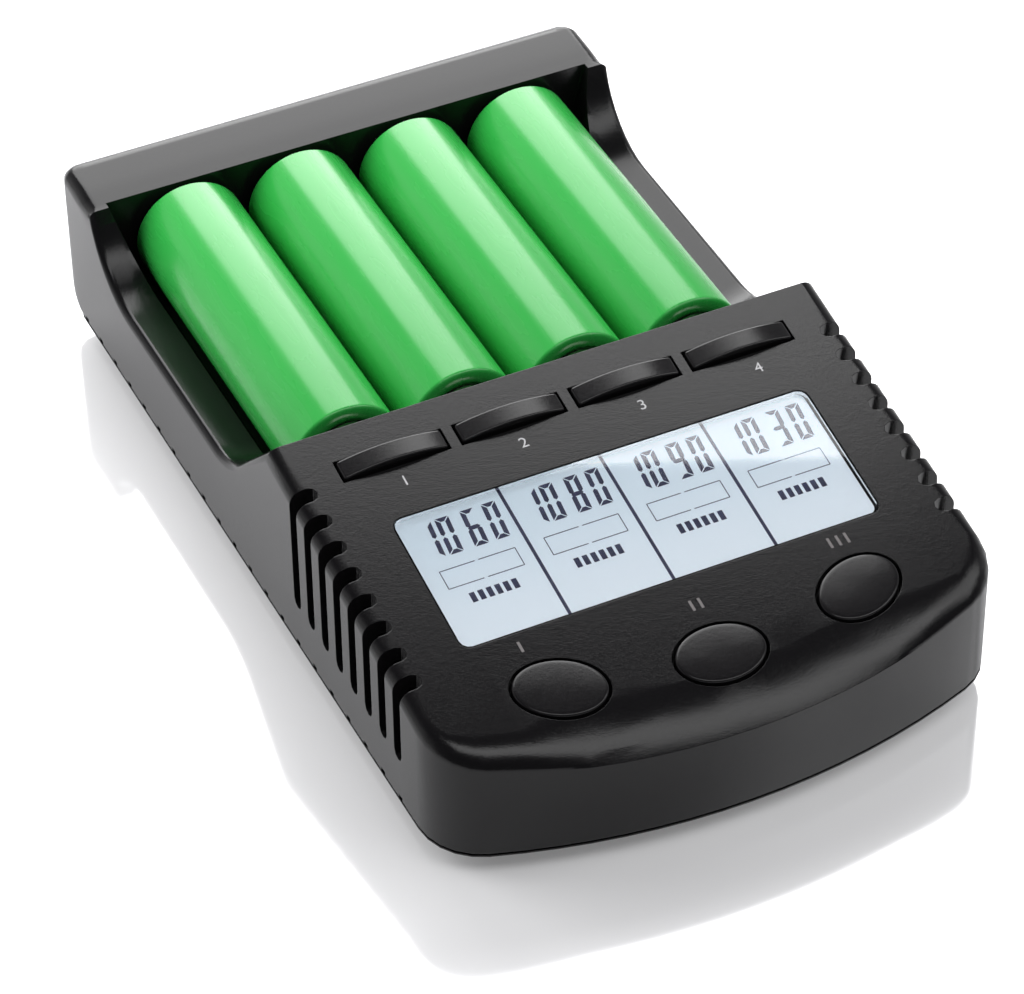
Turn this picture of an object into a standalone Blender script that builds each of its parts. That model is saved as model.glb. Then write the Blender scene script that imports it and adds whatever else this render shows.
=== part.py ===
"""Four-bay AA battery charger with a display, in metres with +Z up.

X runs across the four bays and Y from the front to the back. The origin is on the surface that the
charger stands on, under the middle of its body. The top housing is one moulding: a sloping control
panel at the front, an open bay for four cells and a head with the positive contacts at the back.
"""

import math
from collections import namedtuple

import bmesh
import bpy
from mathutils import Matrix, Vector

# Body
SIDE_WIDTH = 0.00544
BOW_RADIUS = 0.0926
FRONT_CORNER = 0.0080
BACK_CORNER_EASE = 0.0002
BACK_UNDER_ROUND = 0.00275
SEAM_Z = 0.00365
WALL = 0.0020
GAP = 0.0003

# Panel
PANEL_TILT = math.radians(11.14)
FRONT_EDGE_REACH = 0.0065
FRONT_EDGE_DROP = 0.0026
SIDE_EDGE_ROUND = 0.0017
WALL_EDGE_ROUND = 0.0010
BACK_EDGE_ROUND = 0.0028
BACK_CORNER = BACK_EDGE_ROUND + BACK_CORNER_EASE
INNER_EDGE_ROUND = 0.0005
BLEND_START = 0.55
BLEND_LEFT = 0.3

# Cells
CELL_COUNT = 4
CELL_PITCH = 0.01533
CELL_SPACE = 0.00093
CELL_CAN = 0.0490
CELL_NUB = 0.0010
CELL_NUB_RADIUS = 0.0027
CELL_FRONT_EDGE = 0.00045
CELL_BACK_EDGE = 0.0003
CELL_SKIRT_RADIUS = 0.00536
CELL_SKIRT_DEPTH = 0.00025

# Bay
SLIDER_MARGIN = 0.0010
TROUGH_GAP = 0.0003
RIDGE_DROP = 0.0045
RIM_SETBACK = 0.00265
RIM_RISE = 0.0070
BAY_SIDE_FOOT_DROP = 0.0015
BAY_SIDE_SLOPE = 0.265
SCOOP_FLOOR_DROP = 0.00185
SCOOP_RADIUS = 0.0120
SCOOP_HEAD_STEP = 0.0010
WALL_DIP = 0.0010
WALL_BAND = 0.0046
TRAY_FLOOR = 0.0017
TRAY_SPACE = 0.0027

# Head
HEAD_LENGTH = 0.0105
HEAD_FRONT_RISE = 0.0069
HEAD_RISE = 0.0004
HEAD_RISE_LENGTH = 0.0068

# Keys over the bays
KEY_PITCH_LESS = 0.00023
KEY_SPACE = 0.0019
KEY_WIDTH = 0.0027
KEY_SETBACK = 0.0060
KEY_CROWN = 0.0015
KEY_END_RISE = 0.0003
KEY_FLANGE = 0.0007
KEY_BEVEL = 0.0002

# Oval buttons
BUTTON_HALF_LENGTH = 0.0055
BUTTON_HALF_WIDTH = 0.0039
BUTTON_RUNNING_GAP = 0.0004
BUTTON_RISE = 0.0006
BUTTON_FLANGE = 0.0006
BUTTON_SIDE_MARGIN = 0.01707
BUTTON_FRONT_MARGIN = 0.00863
BUTTON_SIDE_BACK = 0.00237
BUTTON_TURN = 0.367
FLANGE_THICKNESS = 0.0008
KEY_TRAVEL = 0.0005

# Display
WINDOW_SIDE_MARGIN = 0.0093
WINDOW_BACK_SETBACK = 0.0147
WINDOW_DEPTH_Y = 0.0193
WINDOW_FRONT_MARGIN = 0.0199
WINDOW_CORNER = 0.0012
WINDOW_THICKNESS = 0.0010
WINDOW_LEDGE = 0.0015
WINDOW_ROOM = 0.0002
LCD_THICKNESS = 0.0018
LCD_SIDE_MARGIN = 0.0018
BACKLIGHT_THICKNESS = 0.0020
BOARD_THICKNESS = 0.0016
BOARD_SIDE_MARGIN = 0.0108
BOARD_FRONT_MARGIN = 0.0010
BOARD_RIB_SPACE = 0.00146
POST_RADIUS = 0.0013
POST_WINDOW_MARGIN = 0.0026
POST_BACK_MARGIN = 0.0033

# Tactile switches
SWITCH_SIZE = 0.0042
PLUNGER_RADIUS = 0.0009
PLUNGER_SINK = 0.0007
PLUNGER_LENGTH = 0.0019

# Side vents
VENT_COUNT = 8
VENT_PITCH = 0.00403
VENT_WIDTH = 0.0020
VENT_FIRST_SETBACK = 0.00776
VENT_REACH = 0.0032
VENT_BOTTOM_Z = 0.0097

# Seam notches
NOTCH_COUNT = 21
NOTCH_PITCH = 0.00483
NOTCH_LENGTH = 0.0010
NOTCH_HEIGHT = 0.0005
NOTCH_DEPTH = 0.0008
NOTCH_BACK_MARGIN = 0.00726

# Contacts and sliders
CONTACT_WIDTH = 0.0080
CONTACT_HEIGHT = 0.0090
CONTACT_THICKNESS = 0.00045
CONTACT_RECESS = 0.0002
CONTACT_TAB_WIDTH = 0.0030
CONTACT_TAB_LENGTH = 0.0040
PLATE_WIDTH = 0.0080
PLATE_THICKNESS = 0.0006
PLATE_TOP_RISE = 0.0053
ARM_WIDTH = 0.0040
ARM_THICKNESS = 0.0016
ARM_DROP = 0.0058
SLIDER_TRAVEL = 0.0050
FLANGE_SIZE = 0.0046
FLANGE_SETBACK = 0.0072
SPRING_RADIUS = 0.0017
SPRING_WIRE = 0.0005
SPRING_TURNS = 5
SPRING_LENGTH = 0.0086

# Base cover
BASE_BOTTOM_Z = 0.0010
BASE_FLOOR = 0.0021
BASE_SLOPE_IN = 0.0032
BASE_EDGE = 0.0002
TONGUE_THICKNESS = 0.0010
TONGUE_TOP_Z = 0.0055
RIB_THICKNESS = 0.0015
RIB_WIDTH = 0.0060
PAD_SIZE = 0.0030
PAD_SIDE_MARGIN = 0.0050

# Boards, jack, screws and feet
POWER_BOARD_STAND = 0.0008
POWER_BOARD_THICKNESS = 0.0012
POWER_BOARD_SIDE_MARGIN = 0.0111
POWER_BOARD_SETBACK = 0.0042
JACK_HALF_WIDTH = 0.0030
JACK_HEIGHT = 0.0056
JACK_BOTTOM_Z = 0.0041
JACK_BORE_RADIUS = 0.00185
JACK_BORE_DEPTH = 0.0080
JACK_PIN_RADIUS = 0.0006
INDUCTOR_RADIUS = 0.0038
INDUCTOR_HEIGHT = 0.0055
CAPACITOR_RADIUS = 0.0031
CAPACITOR_HEIGHT = 0.0066
PART_SETBACK = 0.0085
BOSS_RADIUS = 0.0030
BOSS_CORNER_IN = 0.0006
BOSS_FRONT_MARGIN = 0.0126
BOSS_BACK_SETBACK = 0.0062
SCREW_RADIUS = 0.0012
SCREW_HEAD_RADIUS = 0.0025
SCREW_HEAD_HEIGHT = 0.0007
SCREW_HEAD_SINK = 0.0001
SCREW_LENGTH = 0.0064
FOOT_RADIUS = 0.0040
FOOT_HEIGHT = 0.0012
FOOT_SIDE_MARGIN = 0.0084
FOOT_FRONT_MARGIN = 0.0207
FOOT_BACK_MARGIN = 0.0262

# How finely the curved faces are divided
BOW_STEPS = 8
CORNER_STEPS = 5
BACK_CORNER_STEPS = 3
UNDER_STEPS = 4
EDGE_STEPS = 5
ARC_STEPS = 6
SCOOP_STEPS = 8
ROUND_SEGMENTS = 24
OVAL_SEGMENTS = 28
SMALL_SEGMENTS = 12
FOOT_SEGMENTS = 16
COIL_POINTS = 8
CLEAR = 0.0200
FLAT_LIMIT = math.radians(0.05)

# Places that follow from the sizes above
PANEL_LENGTH = WINDOW_BACK_SETBACK + WINDOW_DEPTH_Y + WINDOW_FRONT_MARGIN
PLATE_SETBACK = SLIDER_MARGIN + SLIDER_TRAVEL + PLATE_THICKNESS
CELL_SETBACK = PLATE_SETBACK + GAP
BAY_LENGTH = CELL_SETBACK + CELL_CAN + CELL_NUB + GAP - CONTACT_RECESS
BODY_LENGTH = PANEL_LENGTH + BAY_LENGTH + HEAD_LENGTH
BODY_WIDTH = CELL_COUNT * CELL_PITCH + 2 * SIDE_WIDTH
FRONT_Y = -BODY_LENGTH / 2
BACK_Y = BODY_LENGTH / 2
HALF_WIDTH = BODY_WIDTH / 2
PANEL_BACK_Y = FRONT_Y + PANEL_LENGTH
BAY_BACK_Y = BACK_Y - HEAD_LENGTH
CONTACT_Y = BAY_BACK_Y + CONTACT_RECESS
PLATE_BACK_Y = PANEL_BACK_Y + PLATE_SETBACK
CELL_FRONT_Y = PANEL_BACK_Y + CELL_SETBACK
CELL_RADIUS = (CELL_PITCH - CELL_SPACE) / 2
RIM_HALF_WIDTH = HALF_WIDTH - RIM_SETBACK
TROUGH_RADIUS = CELL_RADIUS + TROUGH_GAP
BASE_FLOOR_Z = BASE_BOTTOM_Z + BASE_FLOOR
POWER_BOARD_Z = BASE_FLOOR_Z + POWER_BOARD_STAND
POWER_BOARD_TOP_Z = POWER_BOARD_Z + POWER_BOARD_THICKNESS
CELL_AXIS_Z = POWER_BOARD_TOP_Z + TRAY_SPACE + TRAY_FLOOR + TROUGH_RADIUS
RIDGE_Z = CELL_AXIS_Z - RIDGE_DROP
RIM_Z = CELL_AXIS_Z + RIM_RISE
BAY_SIDE_FOOT_Z = CELL_AXIS_Z - BAY_SIDE_FOOT_DROP
SCOOP_FLOOR_Z = CELL_AXIS_Z - SCOOP_FLOOR_DROP
HEAD_FRONT_Z = CELL_AXIS_Z + HEAD_FRONT_RISE
PLATE_TOP_Z = CELL_AXIS_Z + PLATE_TOP_RISE
ARM_BOTTOM_Z = CELL_AXIS_Z - ARM_DROP
ARM_AXIS_Z = ARM_BOTTOM_Z + ARM_THICKNESS / 2
RIB_TOP_Z = ARM_AXIS_Z + FLANGE_SIZE / 2
FLANGE_TOP = -(WALL + GAP)
FLANGE_BOTTOM = FLANGE_TOP - FLANGE_THICKNESS
BACKLIGHT_TOP = FLANGE_TOP - LCD_THICKNESS - GAP
BOARD_TOP = BACKLIGHT_TOP - BACKLIGHT_THICKNESS - GAP
BOARD_BOTTOM = BOARD_TOP - BOARD_THICKNESS
FLANGE_Y = PANEL_BACK_Y - FLANGE_SETBACK
FLANGE_FRONT_Y = FLANGE_Y - FLANGE_THICKNESS
SPRING_BACK_Y = FLANGE_FRONT_Y - GAP
SPRING_FRONT_Y = SPRING_BACK_Y - SPRING_LENGTH
RIB_BACK_Y = SPRING_FRONT_Y - GAP
RIB_FRONT_Y = RIB_BACK_Y - RIB_THICKNESS
BOARD_Z_OVER_RIB = RIB_TOP_Z + BOARD_RIB_SPACE
PANEL_Z_OVER_RIB = BOARD_Z_OVER_RIB - BOARD_BOTTOM / math.cos(PANEL_TILT)
PANEL_BACK_Z = PANEL_Z_OVER_RIB + (PANEL_BACK_Y - RIB_FRONT_Y) * math.tan(PANEL_TILT)
TRAY_CEILING_Z = CELL_AXIS_Z - TROUGH_RADIUS - TRAY_FLOOR
SCOOP_CENTRE_Z = SCOOP_FLOOR_Z + SCOOP_RADIUS
SCOOP_SLANT = math.sin(math.radians(45))
SCOOP_FRONT_Y = PANEL_BACK_Z + PANEL_BACK_Y - SCOOP_CENTRE_Z + 2 * SCOOP_RADIUS * SCOOP_SLANT
SCOOP_RISE = SCOOP_CENTRE_Z - HEAD_FRONT_Z
SCOOP_END_Y = BAY_BACK_Y - SCOOP_HEAD_STEP
SCOOP_BACK_Y = SCOOP_END_Y - math.sqrt(SCOOP_RADIUS ** 2 - SCOOP_RISE ** 2)
RAMP_END_Y = SCOOP_FRONT_Y - SCOOP_RADIUS * SCOOP_SLANT
WINDOW_HALF_WIDTH = HALF_WIDTH - WINDOW_SIDE_MARGIN
WINDOW_Y = PANEL_BACK_Y - WINDOW_BACK_SETBACK - WINDOW_DEPTH_Y / 2
WINDOW_HALF_DEPTH = WINDOW_DEPTH_Y / 2 / math.cos(PANEL_TILT)
LCD_HALF_WIDTH = WINDOW_HALF_WIDTH - LCD_SIDE_MARGIN
BOARD_HALF_WIDTH = HALF_WIDTH - BOARD_SIDE_MARGIN
KEY_PITCH = CELL_PITCH - KEY_PITCH_LESS
KEY_LENGTH = KEY_PITCH - KEY_SPACE
KEY_Y = PANEL_BACK_Y - KEY_SETBACK
BUTTON_SPREAD = HALF_WIDTH - BUTTON_SIDE_MARGIN
POST_BACK_X = KEY_PITCH
POST_FRONT_X = BUTTON_SPREAD / 2
POST_BACK_SETBACK = WINDOW_BACK_SETBACK - POST_BACK_MARGIN
POST_FRONT_SETBACK = WINDOW_BACK_SETBACK + WINDOW_DEPTH_Y + POST_WINDOW_MARGIN
VENT_INNER_X = HALF_WIDTH - VENT_REACH
BUTTON_FRONT_Y = FRONT_Y + BUTTON_FRONT_MARGIN
PLUNGER_TOP = FLANGE_BOTTOM - GAP
PLUNGER_BOTTOM = PLUNGER_TOP - PLUNGER_LENGTH
SWITCH_TOP = PLUNGER_BOTTOM + PLUNGER_SINK
SWITCH_BOTTOM = BOARD_TOP + GAP
TONGUE_INSET = WALL + GAP
POWER_BOARD_FRONT_Y = RIB_BACK_Y + GAP * 2
POWER_BOARD_HALF_WIDTH = HALF_WIDTH - POWER_BOARD_SIDE_MARGIN
POWER_BOARD_BACK_Y = BAY_BACK_Y - POWER_BOARD_SETBACK
PAD_X = POWER_BOARD_HALF_WIDTH - PAD_SIDE_MARGIN
JACK_AXIS_Z = JACK_BOTTOM_Z + JACK_HEIGHT / 2
JACK_FRONT_Y = POWER_BOARD_BACK_Y + GAP
BOSS_BOTTOM_Z = BASE_FLOOR_Z + GAP
BOSS_BACK_X = HALF_WIDTH - TONGUE_INSET - TONGUE_THICKNESS - GAP - BOSS_RADIUS
BOSS_FRONT_X = BOSS_BACK_X - BOSS_CORNER_IN
BOSS_FRONT_Y = FRONT_Y + BOSS_FRONT_MARGIN
BOSS_BACK_Y = BAY_BACK_Y - BOSS_BACK_SETBACK
FOOT_X = HALF_WIDTH - FOOT_SIDE_MARGIN
FOOT_FRONT_Y = FRONT_Y + FOOT_FRONT_MARGIN
FOOT_BACK_Y = BACK_Y - FOOT_BACK_MARGIN
SCREW_SEAT_Z = BASE_BOTTOM_Z + SCREW_HEAD_SINK + SCREW_HEAD_HEIGHT + GAP

Station = namedtuple("Station", "x y nx ny front back side")
CELL_XS = [CELL_PITCH * (i - (CELL_COUNT - 1) / 2) for i in range(CELL_COUNT)]
KEY_XS = [KEY_PITCH * (i - (CELL_COUNT - 1) / 2) for i in range(CELL_COUNT)]
BOSS_PLACES = [(side * x, y) for x, y in ((BOSS_FRONT_X, BOSS_FRONT_Y), (BOSS_BACK_X, BOSS_BACK_Y))
               for side in (-1, 1)]
FOOT_PLACES = [(x, y) for y in (FOOT_FRONT_Y, FOOT_BACK_Y) for x in (-FOOT_X, FOOT_X)]
BUTTONS = {
    "left": (-BUTTON_SPREAD, BUTTON_FRONT_Y + BUTTON_SIDE_BACK, -BUTTON_TURN),
    "middle": (0.0, BUTTON_FRONT_Y, 0.0),
    "right": (BUTTON_SPREAD, BUTTON_FRONT_Y + BUTTON_SIDE_BACK, BUTTON_TURN),
}


# Scene and materials

def clear_scene():
    for obj in list(bpy.data.objects):
        bpy.data.objects.remove(obj, do_unlink=True)


def new_collection(name):
    group = bpy.data.collections.new(name)
    bpy.context.scene.collection.children.link(group)
    return group


def new_material(name, color, roughness, metallic=0.0):
    material = bpy.data.materials.new(name)
    material.use_nodes = True
    shader = material.node_tree.nodes["Principled BSDF"]
    shader.inputs["Base Color"].default_value = (*color, 1.0)
    shader.inputs["Roughness"].default_value = roughness
    shader.inputs["Metallic"].default_value = metallic
    material.diffuse_color = (*color, 1.0)
    return material


def finish_mesh(bm, name):
    """Turn a bmesh into a mesh with its faces pointing out."""
    bmesh.ops.remove_doubles(bm, verts=bm.verts, dist=1e-6)
    bmesh.ops.recalc_face_normals(bm, faces=bm.faces)
    mesh = bpy.data.meshes.new(name)
    bm.to_mesh(mesh)
    bm.free()
    return mesh


def add_part(name, mesh, material, matrix=None, smooth=False):
    obj = bpy.data.objects.new(name, mesh)
    PARTS.objects.link(obj)
    if not mesh.materials:
        mesh.materials.append(material)
    if matrix is not None:
        obj.matrix_world = matrix
    if smooth:
        mesh.shade_smooth()
        mesh.set_sharp_from_angle(angle=math.radians(35))
    return obj


def add_cutter(name, mesh):
    obj = bpy.data.objects.new(name, mesh)
    CUTTERS.objects.link(obj)
    obj.hide_render = True
    obj.display_type = "WIRE"
    return obj


def combine(obj, other, operation):
    modifier = obj.modifiers.new(other.name, "BOOLEAN")
    modifier.solver = "EXACT"
    modifier.operation = operation
    modifier.object = other


def baked(obj, name):
    """The mesh of an object with its modifiers worked in, for pieces that repeat."""
    graph = bpy.context.evaluated_depsgraph_get()
    mesh = bpy.data.meshes.new_from_object(obj.evaluated_get(graph))
    mesh.name = name
    bm = bmesh.new()
    bm.from_mesh(mesh)
    bmesh.ops.remove_doubles(bm, verts=bm.verts, dist=1e-6)
    bm.to_mesh(mesh)
    bm.free()
    return mesh


# Shapes

def put_box(bm, low, high, matrix=None):
    made = bmesh.ops.create_cube(bm, size=1.0)["verts"]
    size = [b - a for a, b in zip(low, high)]
    middle = [(a + b) / 2 for a, b in zip(low, high)]
    shape = Matrix.Translation(middle) @ Matrix.Diagonal((*size, 1.0))
    bmesh.ops.transform(bm, matrix=(matrix or Matrix()) @ shape, verts=made)


def box_mesh(name, low, high):
    bm = bmesh.new()
    put_box(bm, low, high)
    return finish_mesh(bm, name)


def put_cylinder(bm, radius, start, end, segments, matrix=None):
    """A cylinder between two points."""
    start, end = Vector(start), Vector(end)
    run = end - start
    made = bmesh.ops.create_cone(bm, cap_ends=True, segments=segments, radius1=radius,
                                 radius2=radius, depth=run.length)["verts"]
    turn = run.to_track_quat("Z", "Y").to_matrix().to_4x4()
    place = Matrix.Translation((start + end) / 2) @ turn
    bmesh.ops.transform(bm, matrix=(matrix or Matrix()) @ place, verts=made)


def put_prism(bm, points, low, high, matrix=None):
    """A flat outline in X and Y raised between two heights, which may differ at each point."""
    place = matrix or Matrix()
    bottom = [bm.verts.new(place @ Vector((x, y, low))) for x, y in points]
    top = [bm.verts.new(place @ Vector((x, y, high))) for x, y in points]
    bm.faces.new(bottom)
    bm.faces.new(top)
    count = len(points)
    for i in range(count):
        j = (i + 1) % count
        bm.faces.new((bottom[i], bottom[j], top[j], top[i]))


def put_levels(bm, rings, matrix=None):
    """A closed body through a stack of rings that have the same number of points."""
    place = matrix or Matrix()
    rows = [[bm.verts.new(place @ Vector(point)) for point in ring] for ring in rings]
    for lower, upper in zip(rows, rows[1:]):
        for i in range(len(lower)):
            j = (i + 1) % len(lower)
            bm.faces.new((lower[i], lower[j], upper[j], upper[i]))
    bm.faces.new(rows[0])
    bm.faces.new(rows[-1])


def oval_ring(half_x, half_y, z):
    angles = [math.tau * i / OVAL_SEGMENTS for i in range(OVAL_SEGMENTS)]
    return [(half_x * math.cos(a), half_y * math.sin(a), z) for a in angles]


def rounded_outline(half_x, half_y, radius, steps):
    """A rectangle with round corners, centred on the origin."""
    points = []
    for sx, sy, start in ((1, 1, 0), (-1, 1, 90), (-1, -1, 180), (1, -1, 270)):
        for i in range(steps + 1):
            angle = math.radians(start + 90 * i / steps)
            x = sx * (half_x - radius) + radius * math.cos(angle)
            y = sy * (half_y - radius) + radius * math.sin(angle)
            points.append((x, y))
    return points


def turned(name, profile, segments, material, matrix):
    """A profile that runs down the outer side at +X, turned about its own Z axis."""
    mesh = bpy.data.meshes.new(name)
    edges = [(i, i + 1) for i in range(len(profile) - 1)]
    mesh.from_pydata([(r, 0.0, z) for r, z in profile], edges, [])
    obj = add_part(name, mesh, material, matrix)
    screw = obj.modifiers.new("Turn", "SCREW")
    screw.axis = "Z"
    screw.steps = segments
    screw.render_steps = segments
    screw.use_merge_vertices = True
    screw.merge_threshold = 1e-5
    screw.use_smooth_shade = True
    return obj


# The moulded body

def panel_z(y):
    return PANEL_BACK_Z + math.tan(PANEL_TILT) * (y - PANEL_BACK_Y)


def panel_frame(x, y, turn=0.0):
    """A frame on the panel's face: its Z stands out of the face and its Y runs up the slope."""
    place = Matrix.Translation((x, y, panel_z(y)))
    return place @ Matrix.Rotation(PANEL_TILT, 4, "X") @ Matrix.Rotation(turn, 4, "Z")


def top_z(y):
    """Height of the moulding along its sides, before its edges are rounded."""
    if y <= PANEL_BACK_Y:
        return panel_z(y)
    if y <= RAMP_END_Y:
        return PANEL_BACK_Z - (y - PANEL_BACK_Y)
    if y <= SCOOP_FRONT_Y:
        return SCOOP_CENTRE_Z - math.sqrt(SCOOP_RADIUS ** 2 - (y - SCOOP_FRONT_Y) ** 2)
    if y <= SCOOP_BACK_Y:
        return SCOOP_FLOOR_Z
    if y < SCOOP_END_Y:
        return SCOOP_CENTRE_Z - math.sqrt(SCOOP_RADIUS ** 2 - (y - SCOOP_BACK_Y) ** 2)
    share = min(max((y - BAY_BACK_Y) / HEAD_RISE_LENGTH, 0.0), 1.0)
    return HEAD_FRONT_Z + HEAD_RISE * math.sin(share * math.pi / 2)


def side_ys(scooped):
    """Stations along the side: the ramp, the scoop's two arcs and the head."""
    last = BACK_Y - BACK_UNDER_ROUND - max(BACK_CORNER, TONGUE_INSET + TONGUE_THICKNESS) - GAP * 2
    if not scooped:
        return [PANEL_BACK_Y, BAY_BACK_Y, last]
    front_arc = math.radians(45)
    back_arc = math.acos(SCOOP_RISE / SCOOP_RADIUS)
    ys = [PANEL_BACK_Y]
    for i in range(SCOOP_STEPS):
        ys.append(SCOOP_FRONT_Y - SCOOP_RADIUS * math.sin(front_arc * (1 - i / SCOOP_STEPS)))
    ys.append(SCOOP_FRONT_Y)
    for i in range(SCOOP_STEPS + 1):
        ys.append(SCOOP_BACK_Y + SCOOP_RADIUS * math.sin(back_arc * i / SCOOP_STEPS))
    ys += [BAY_BACK_Y, (BAY_BACK_Y + last) / 2, last]
    return ys


def plan_stations(inset, scooped=False, coarse=False):
    """Half of the plan outline, from the middle of the front round to the back."""
    bow_steps = BOW_STEPS // 2 if coarse else BOW_STEPS
    corner_steps = CORNER_STEPS // 2 if coarse else CORNER_STEPS
    half = HALF_WIDTH - inset
    bow = BOW_RADIUS - inset
    corner = max(FRONT_CORNER - inset, GAP)
    centre_y = FRONT_Y + BOW_RADIUS
    corner_x = half - corner
    bow_end = math.asin(corner_x / (bow - corner))
    corner_y = centre_y - (bow - corner) * math.cos(bow_end)
    stations = []
    for i in range(bow_steps + 1):
        share = i / bow_steps
        angle = bow_end * share
        out_x, out_y = math.sin(angle), -math.cos(angle)
        front = 1.0 - (1.0 - BLEND_LEFT) * smooth_step((share - BLEND_START) / (1 - BLEND_START))
        stations.append(Station(bow * out_x, centre_y + bow * out_y, -out_x, -out_y, front, 0.0, 0.0))
    for i in range(1, corner_steps + 1):
        share = i / corner_steps
        angle = bow_end + (math.pi / 2 - bow_end) * share
        out_x, out_y = math.sin(angle), -math.cos(angle)
        x, y = corner_x + corner * out_x, corner_y + corner * out_y
        front = BLEND_LEFT * (1 - smooth_step(share))
        stations.append(Station(x, y, -out_x, -out_y, front, 0.0, 0.0))
    for y in side_ys(scooped):
        stations.append(Station(half, y, -1.0, 0.0, 0.0, 0.0, 1.0))
    radius = max(BACK_CORNER - inset, GAP)
    for i in range(BACK_CORNER_STEPS + 1):
        share = i / BACK_CORNER_STEPS
        angle = math.pi / 2 * share
        out_x, out_y = math.cos(angle), math.sin(angle)
        x = half - radius + radius * out_x
        y = BACK_Y - inset - radius + radius * out_y
        stations.append(Station(x, y, -out_x, -out_y, 0.0, share, 0.0))
    return stations


def smooth_step(share):
    share = min(max(share, 0.0), 1.0)
    return share * share * (3 - 2 * share)


def is_behind(station):
    """True for the stations of the back and its corners, which the under-edge rounding moves."""
    return station.back > 0 or station.y > BAY_BACK_Y + HEAD_LENGTH / 2 and not station.side


def level_ring(stations, z, back_shift):
    ring = []
    for s in stations:
        shift = back_shift if is_behind(s) else 0.0
        ring.append((s.x, s.y - shift, z))
    return ring


def beside_bay(station):
    return station.side and PANEL_BACK_Y < station.y < BAY_BACK_Y


def side_edge_round(station):
    """The rounding of the side's top edge, which is finer on the walls beside the bay."""
    return WALL_EDGE_ROUND if beside_bay(station) else SIDE_EDGE_ROUND


def edge_ring(stations, inset, angle):
    """A ring on the rounded top edge, at an angle from the wall (0) to the top face (90 degrees)."""
    front_reach = max(FRONT_EDGE_REACH - inset, INNER_EDGE_ROUND)
    front_drop = FRONT_EDGE_DROP * (front_reach / FRONT_EDGE_REACH) ** 2
    back_round = max(BACK_EDGE_ROUND - inset, INNER_EDGE_ROUND / 2)
    ring = []
    for s in stations:
        side_round = max(side_edge_round(s) - inset, INNER_EDGE_ROUND / 2)
        reach = side_round + (front_reach - side_round) * s.front + (back_round - side_round) * s.back
        drop = side_round + (front_drop - side_round) * s.front + (back_round - side_round) * s.back
        share = (1 - s.front) * (1 - math.sin(angle)) + s.front * math.cos(angle) ** 2
        step = reach * (1 - math.cos(angle))
        x, y = s.x + s.nx * step, s.y + s.ny * step
        ring.append((x, y, top_z(y) - inset - drop * share))
    return ring


def band_ring(stations, share):
    """A ring on the side walls' top band, which dips towards the bay."""
    ring = []
    for s in stations:
        side_round = side_edge_round(s)
        reach = side_round + (FRONT_EDGE_REACH - side_round) * s.front
        reach += (BACK_EDGE_ROUND - side_round) * s.back
        dip = 0.0
        if beside_bay(s):
            reach += WALL_BAND * share
            low = smooth_step((HEAD_FRONT_Z - top_z(s.y)) / (HEAD_FRONT_Z - SCOOP_FLOOR_Z))
            dip = WALL_DIP * low * (1 - (1 - share) ** 2)
        x, y = s.x + s.nx * reach, s.y + s.ny * reach
        ring.append((x, y, top_z(y) - dip))
    return ring


def loft(bm, rings, flat):
    """Skin over rings of half outlines and their mirror images, closed across at both ends.

    An end is flat from the front to the point with the index flat. Behind it strips run across, up to
    one face between the back corners.
    """
    rows = []
    for ring in rings:
        right = [bm.verts.new(point) for point in ring]
        left = [bm.verts.new((-x, y, z)) for x, y, z in ring[1:]]
        rows.append((right, [right[0], *left]))
    for (right_a, left_a), (right_b, left_b) in zip(rows, rows[1:]):
        for i in range(len(right_a) - 1):
            bm.faces.new((right_a[i], right_a[i + 1], right_b[i + 1], right_b[i]))
            bm.faces.new((left_a[i], left_b[i], left_b[i + 1], left_a[i + 1]))
        bm.faces.new((right_a[-1], left_a[-1], left_b[-1], right_b[-1]))
    for right, left in (rows[0], rows[-1]):
        bm.faces.new((*right[:flat + 1], *reversed(left[1:flat + 1])))
        corner = len(right) - 1 - BACK_CORNER_STEPS
        for i in range(flat, corner):
            bm.faces.new((right[i], right[i + 1], left[i + 1], left[i]))
        bm.faces.new((*right[corner:], *reversed(left[corner:])))
    bmesh.ops.remove_doubles(bm, verts=bm.verts, dist=1e-6)
    bmesh.ops.triangulate(bm, faces=bm.faces)
    bmesh.ops.dissolve_limit(bm, angle_limit=FLAT_LIMIT, verts=bm.verts, edges=bm.edges)


def first_side(stations):
    return next(i for i, station in enumerate(stations) if station.side)


def skin_mesh(name, inset):
    """The body's outer skin, or an inner skin parallel to it that is open to below."""
    stations = plan_stations(inset, scooped=not inset, coarse=bool(inset))
    edge_steps = EDGE_STEPS // 2 if inset else EDGE_STEPS
    rings = []
    if inset:
        rings.append(level_ring(stations, -CLEAR, BACK_UNDER_ROUND))
    for i in range(UNDER_STEPS + 1):
        angle = math.pi / 2 * i / UNDER_STEPS
        z = SEAM_Z + BACK_UNDER_ROUND * (1 - math.cos(angle))
        rings.append(level_ring(stations, z, BACK_UNDER_ROUND * (1 - math.sin(angle))))
    for i in range(edge_steps + 1):
        rings.append(edge_ring(stations, inset, math.pi / 2 * i / edge_steps))
    if not inset:
        rings += [band_ring(stations, 0.5), band_ring(stations, 1.0)]
    bm = bmesh.new()
    loft(bm, rings, first_side(stations))
    return finish_mesh(bm, name)


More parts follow.
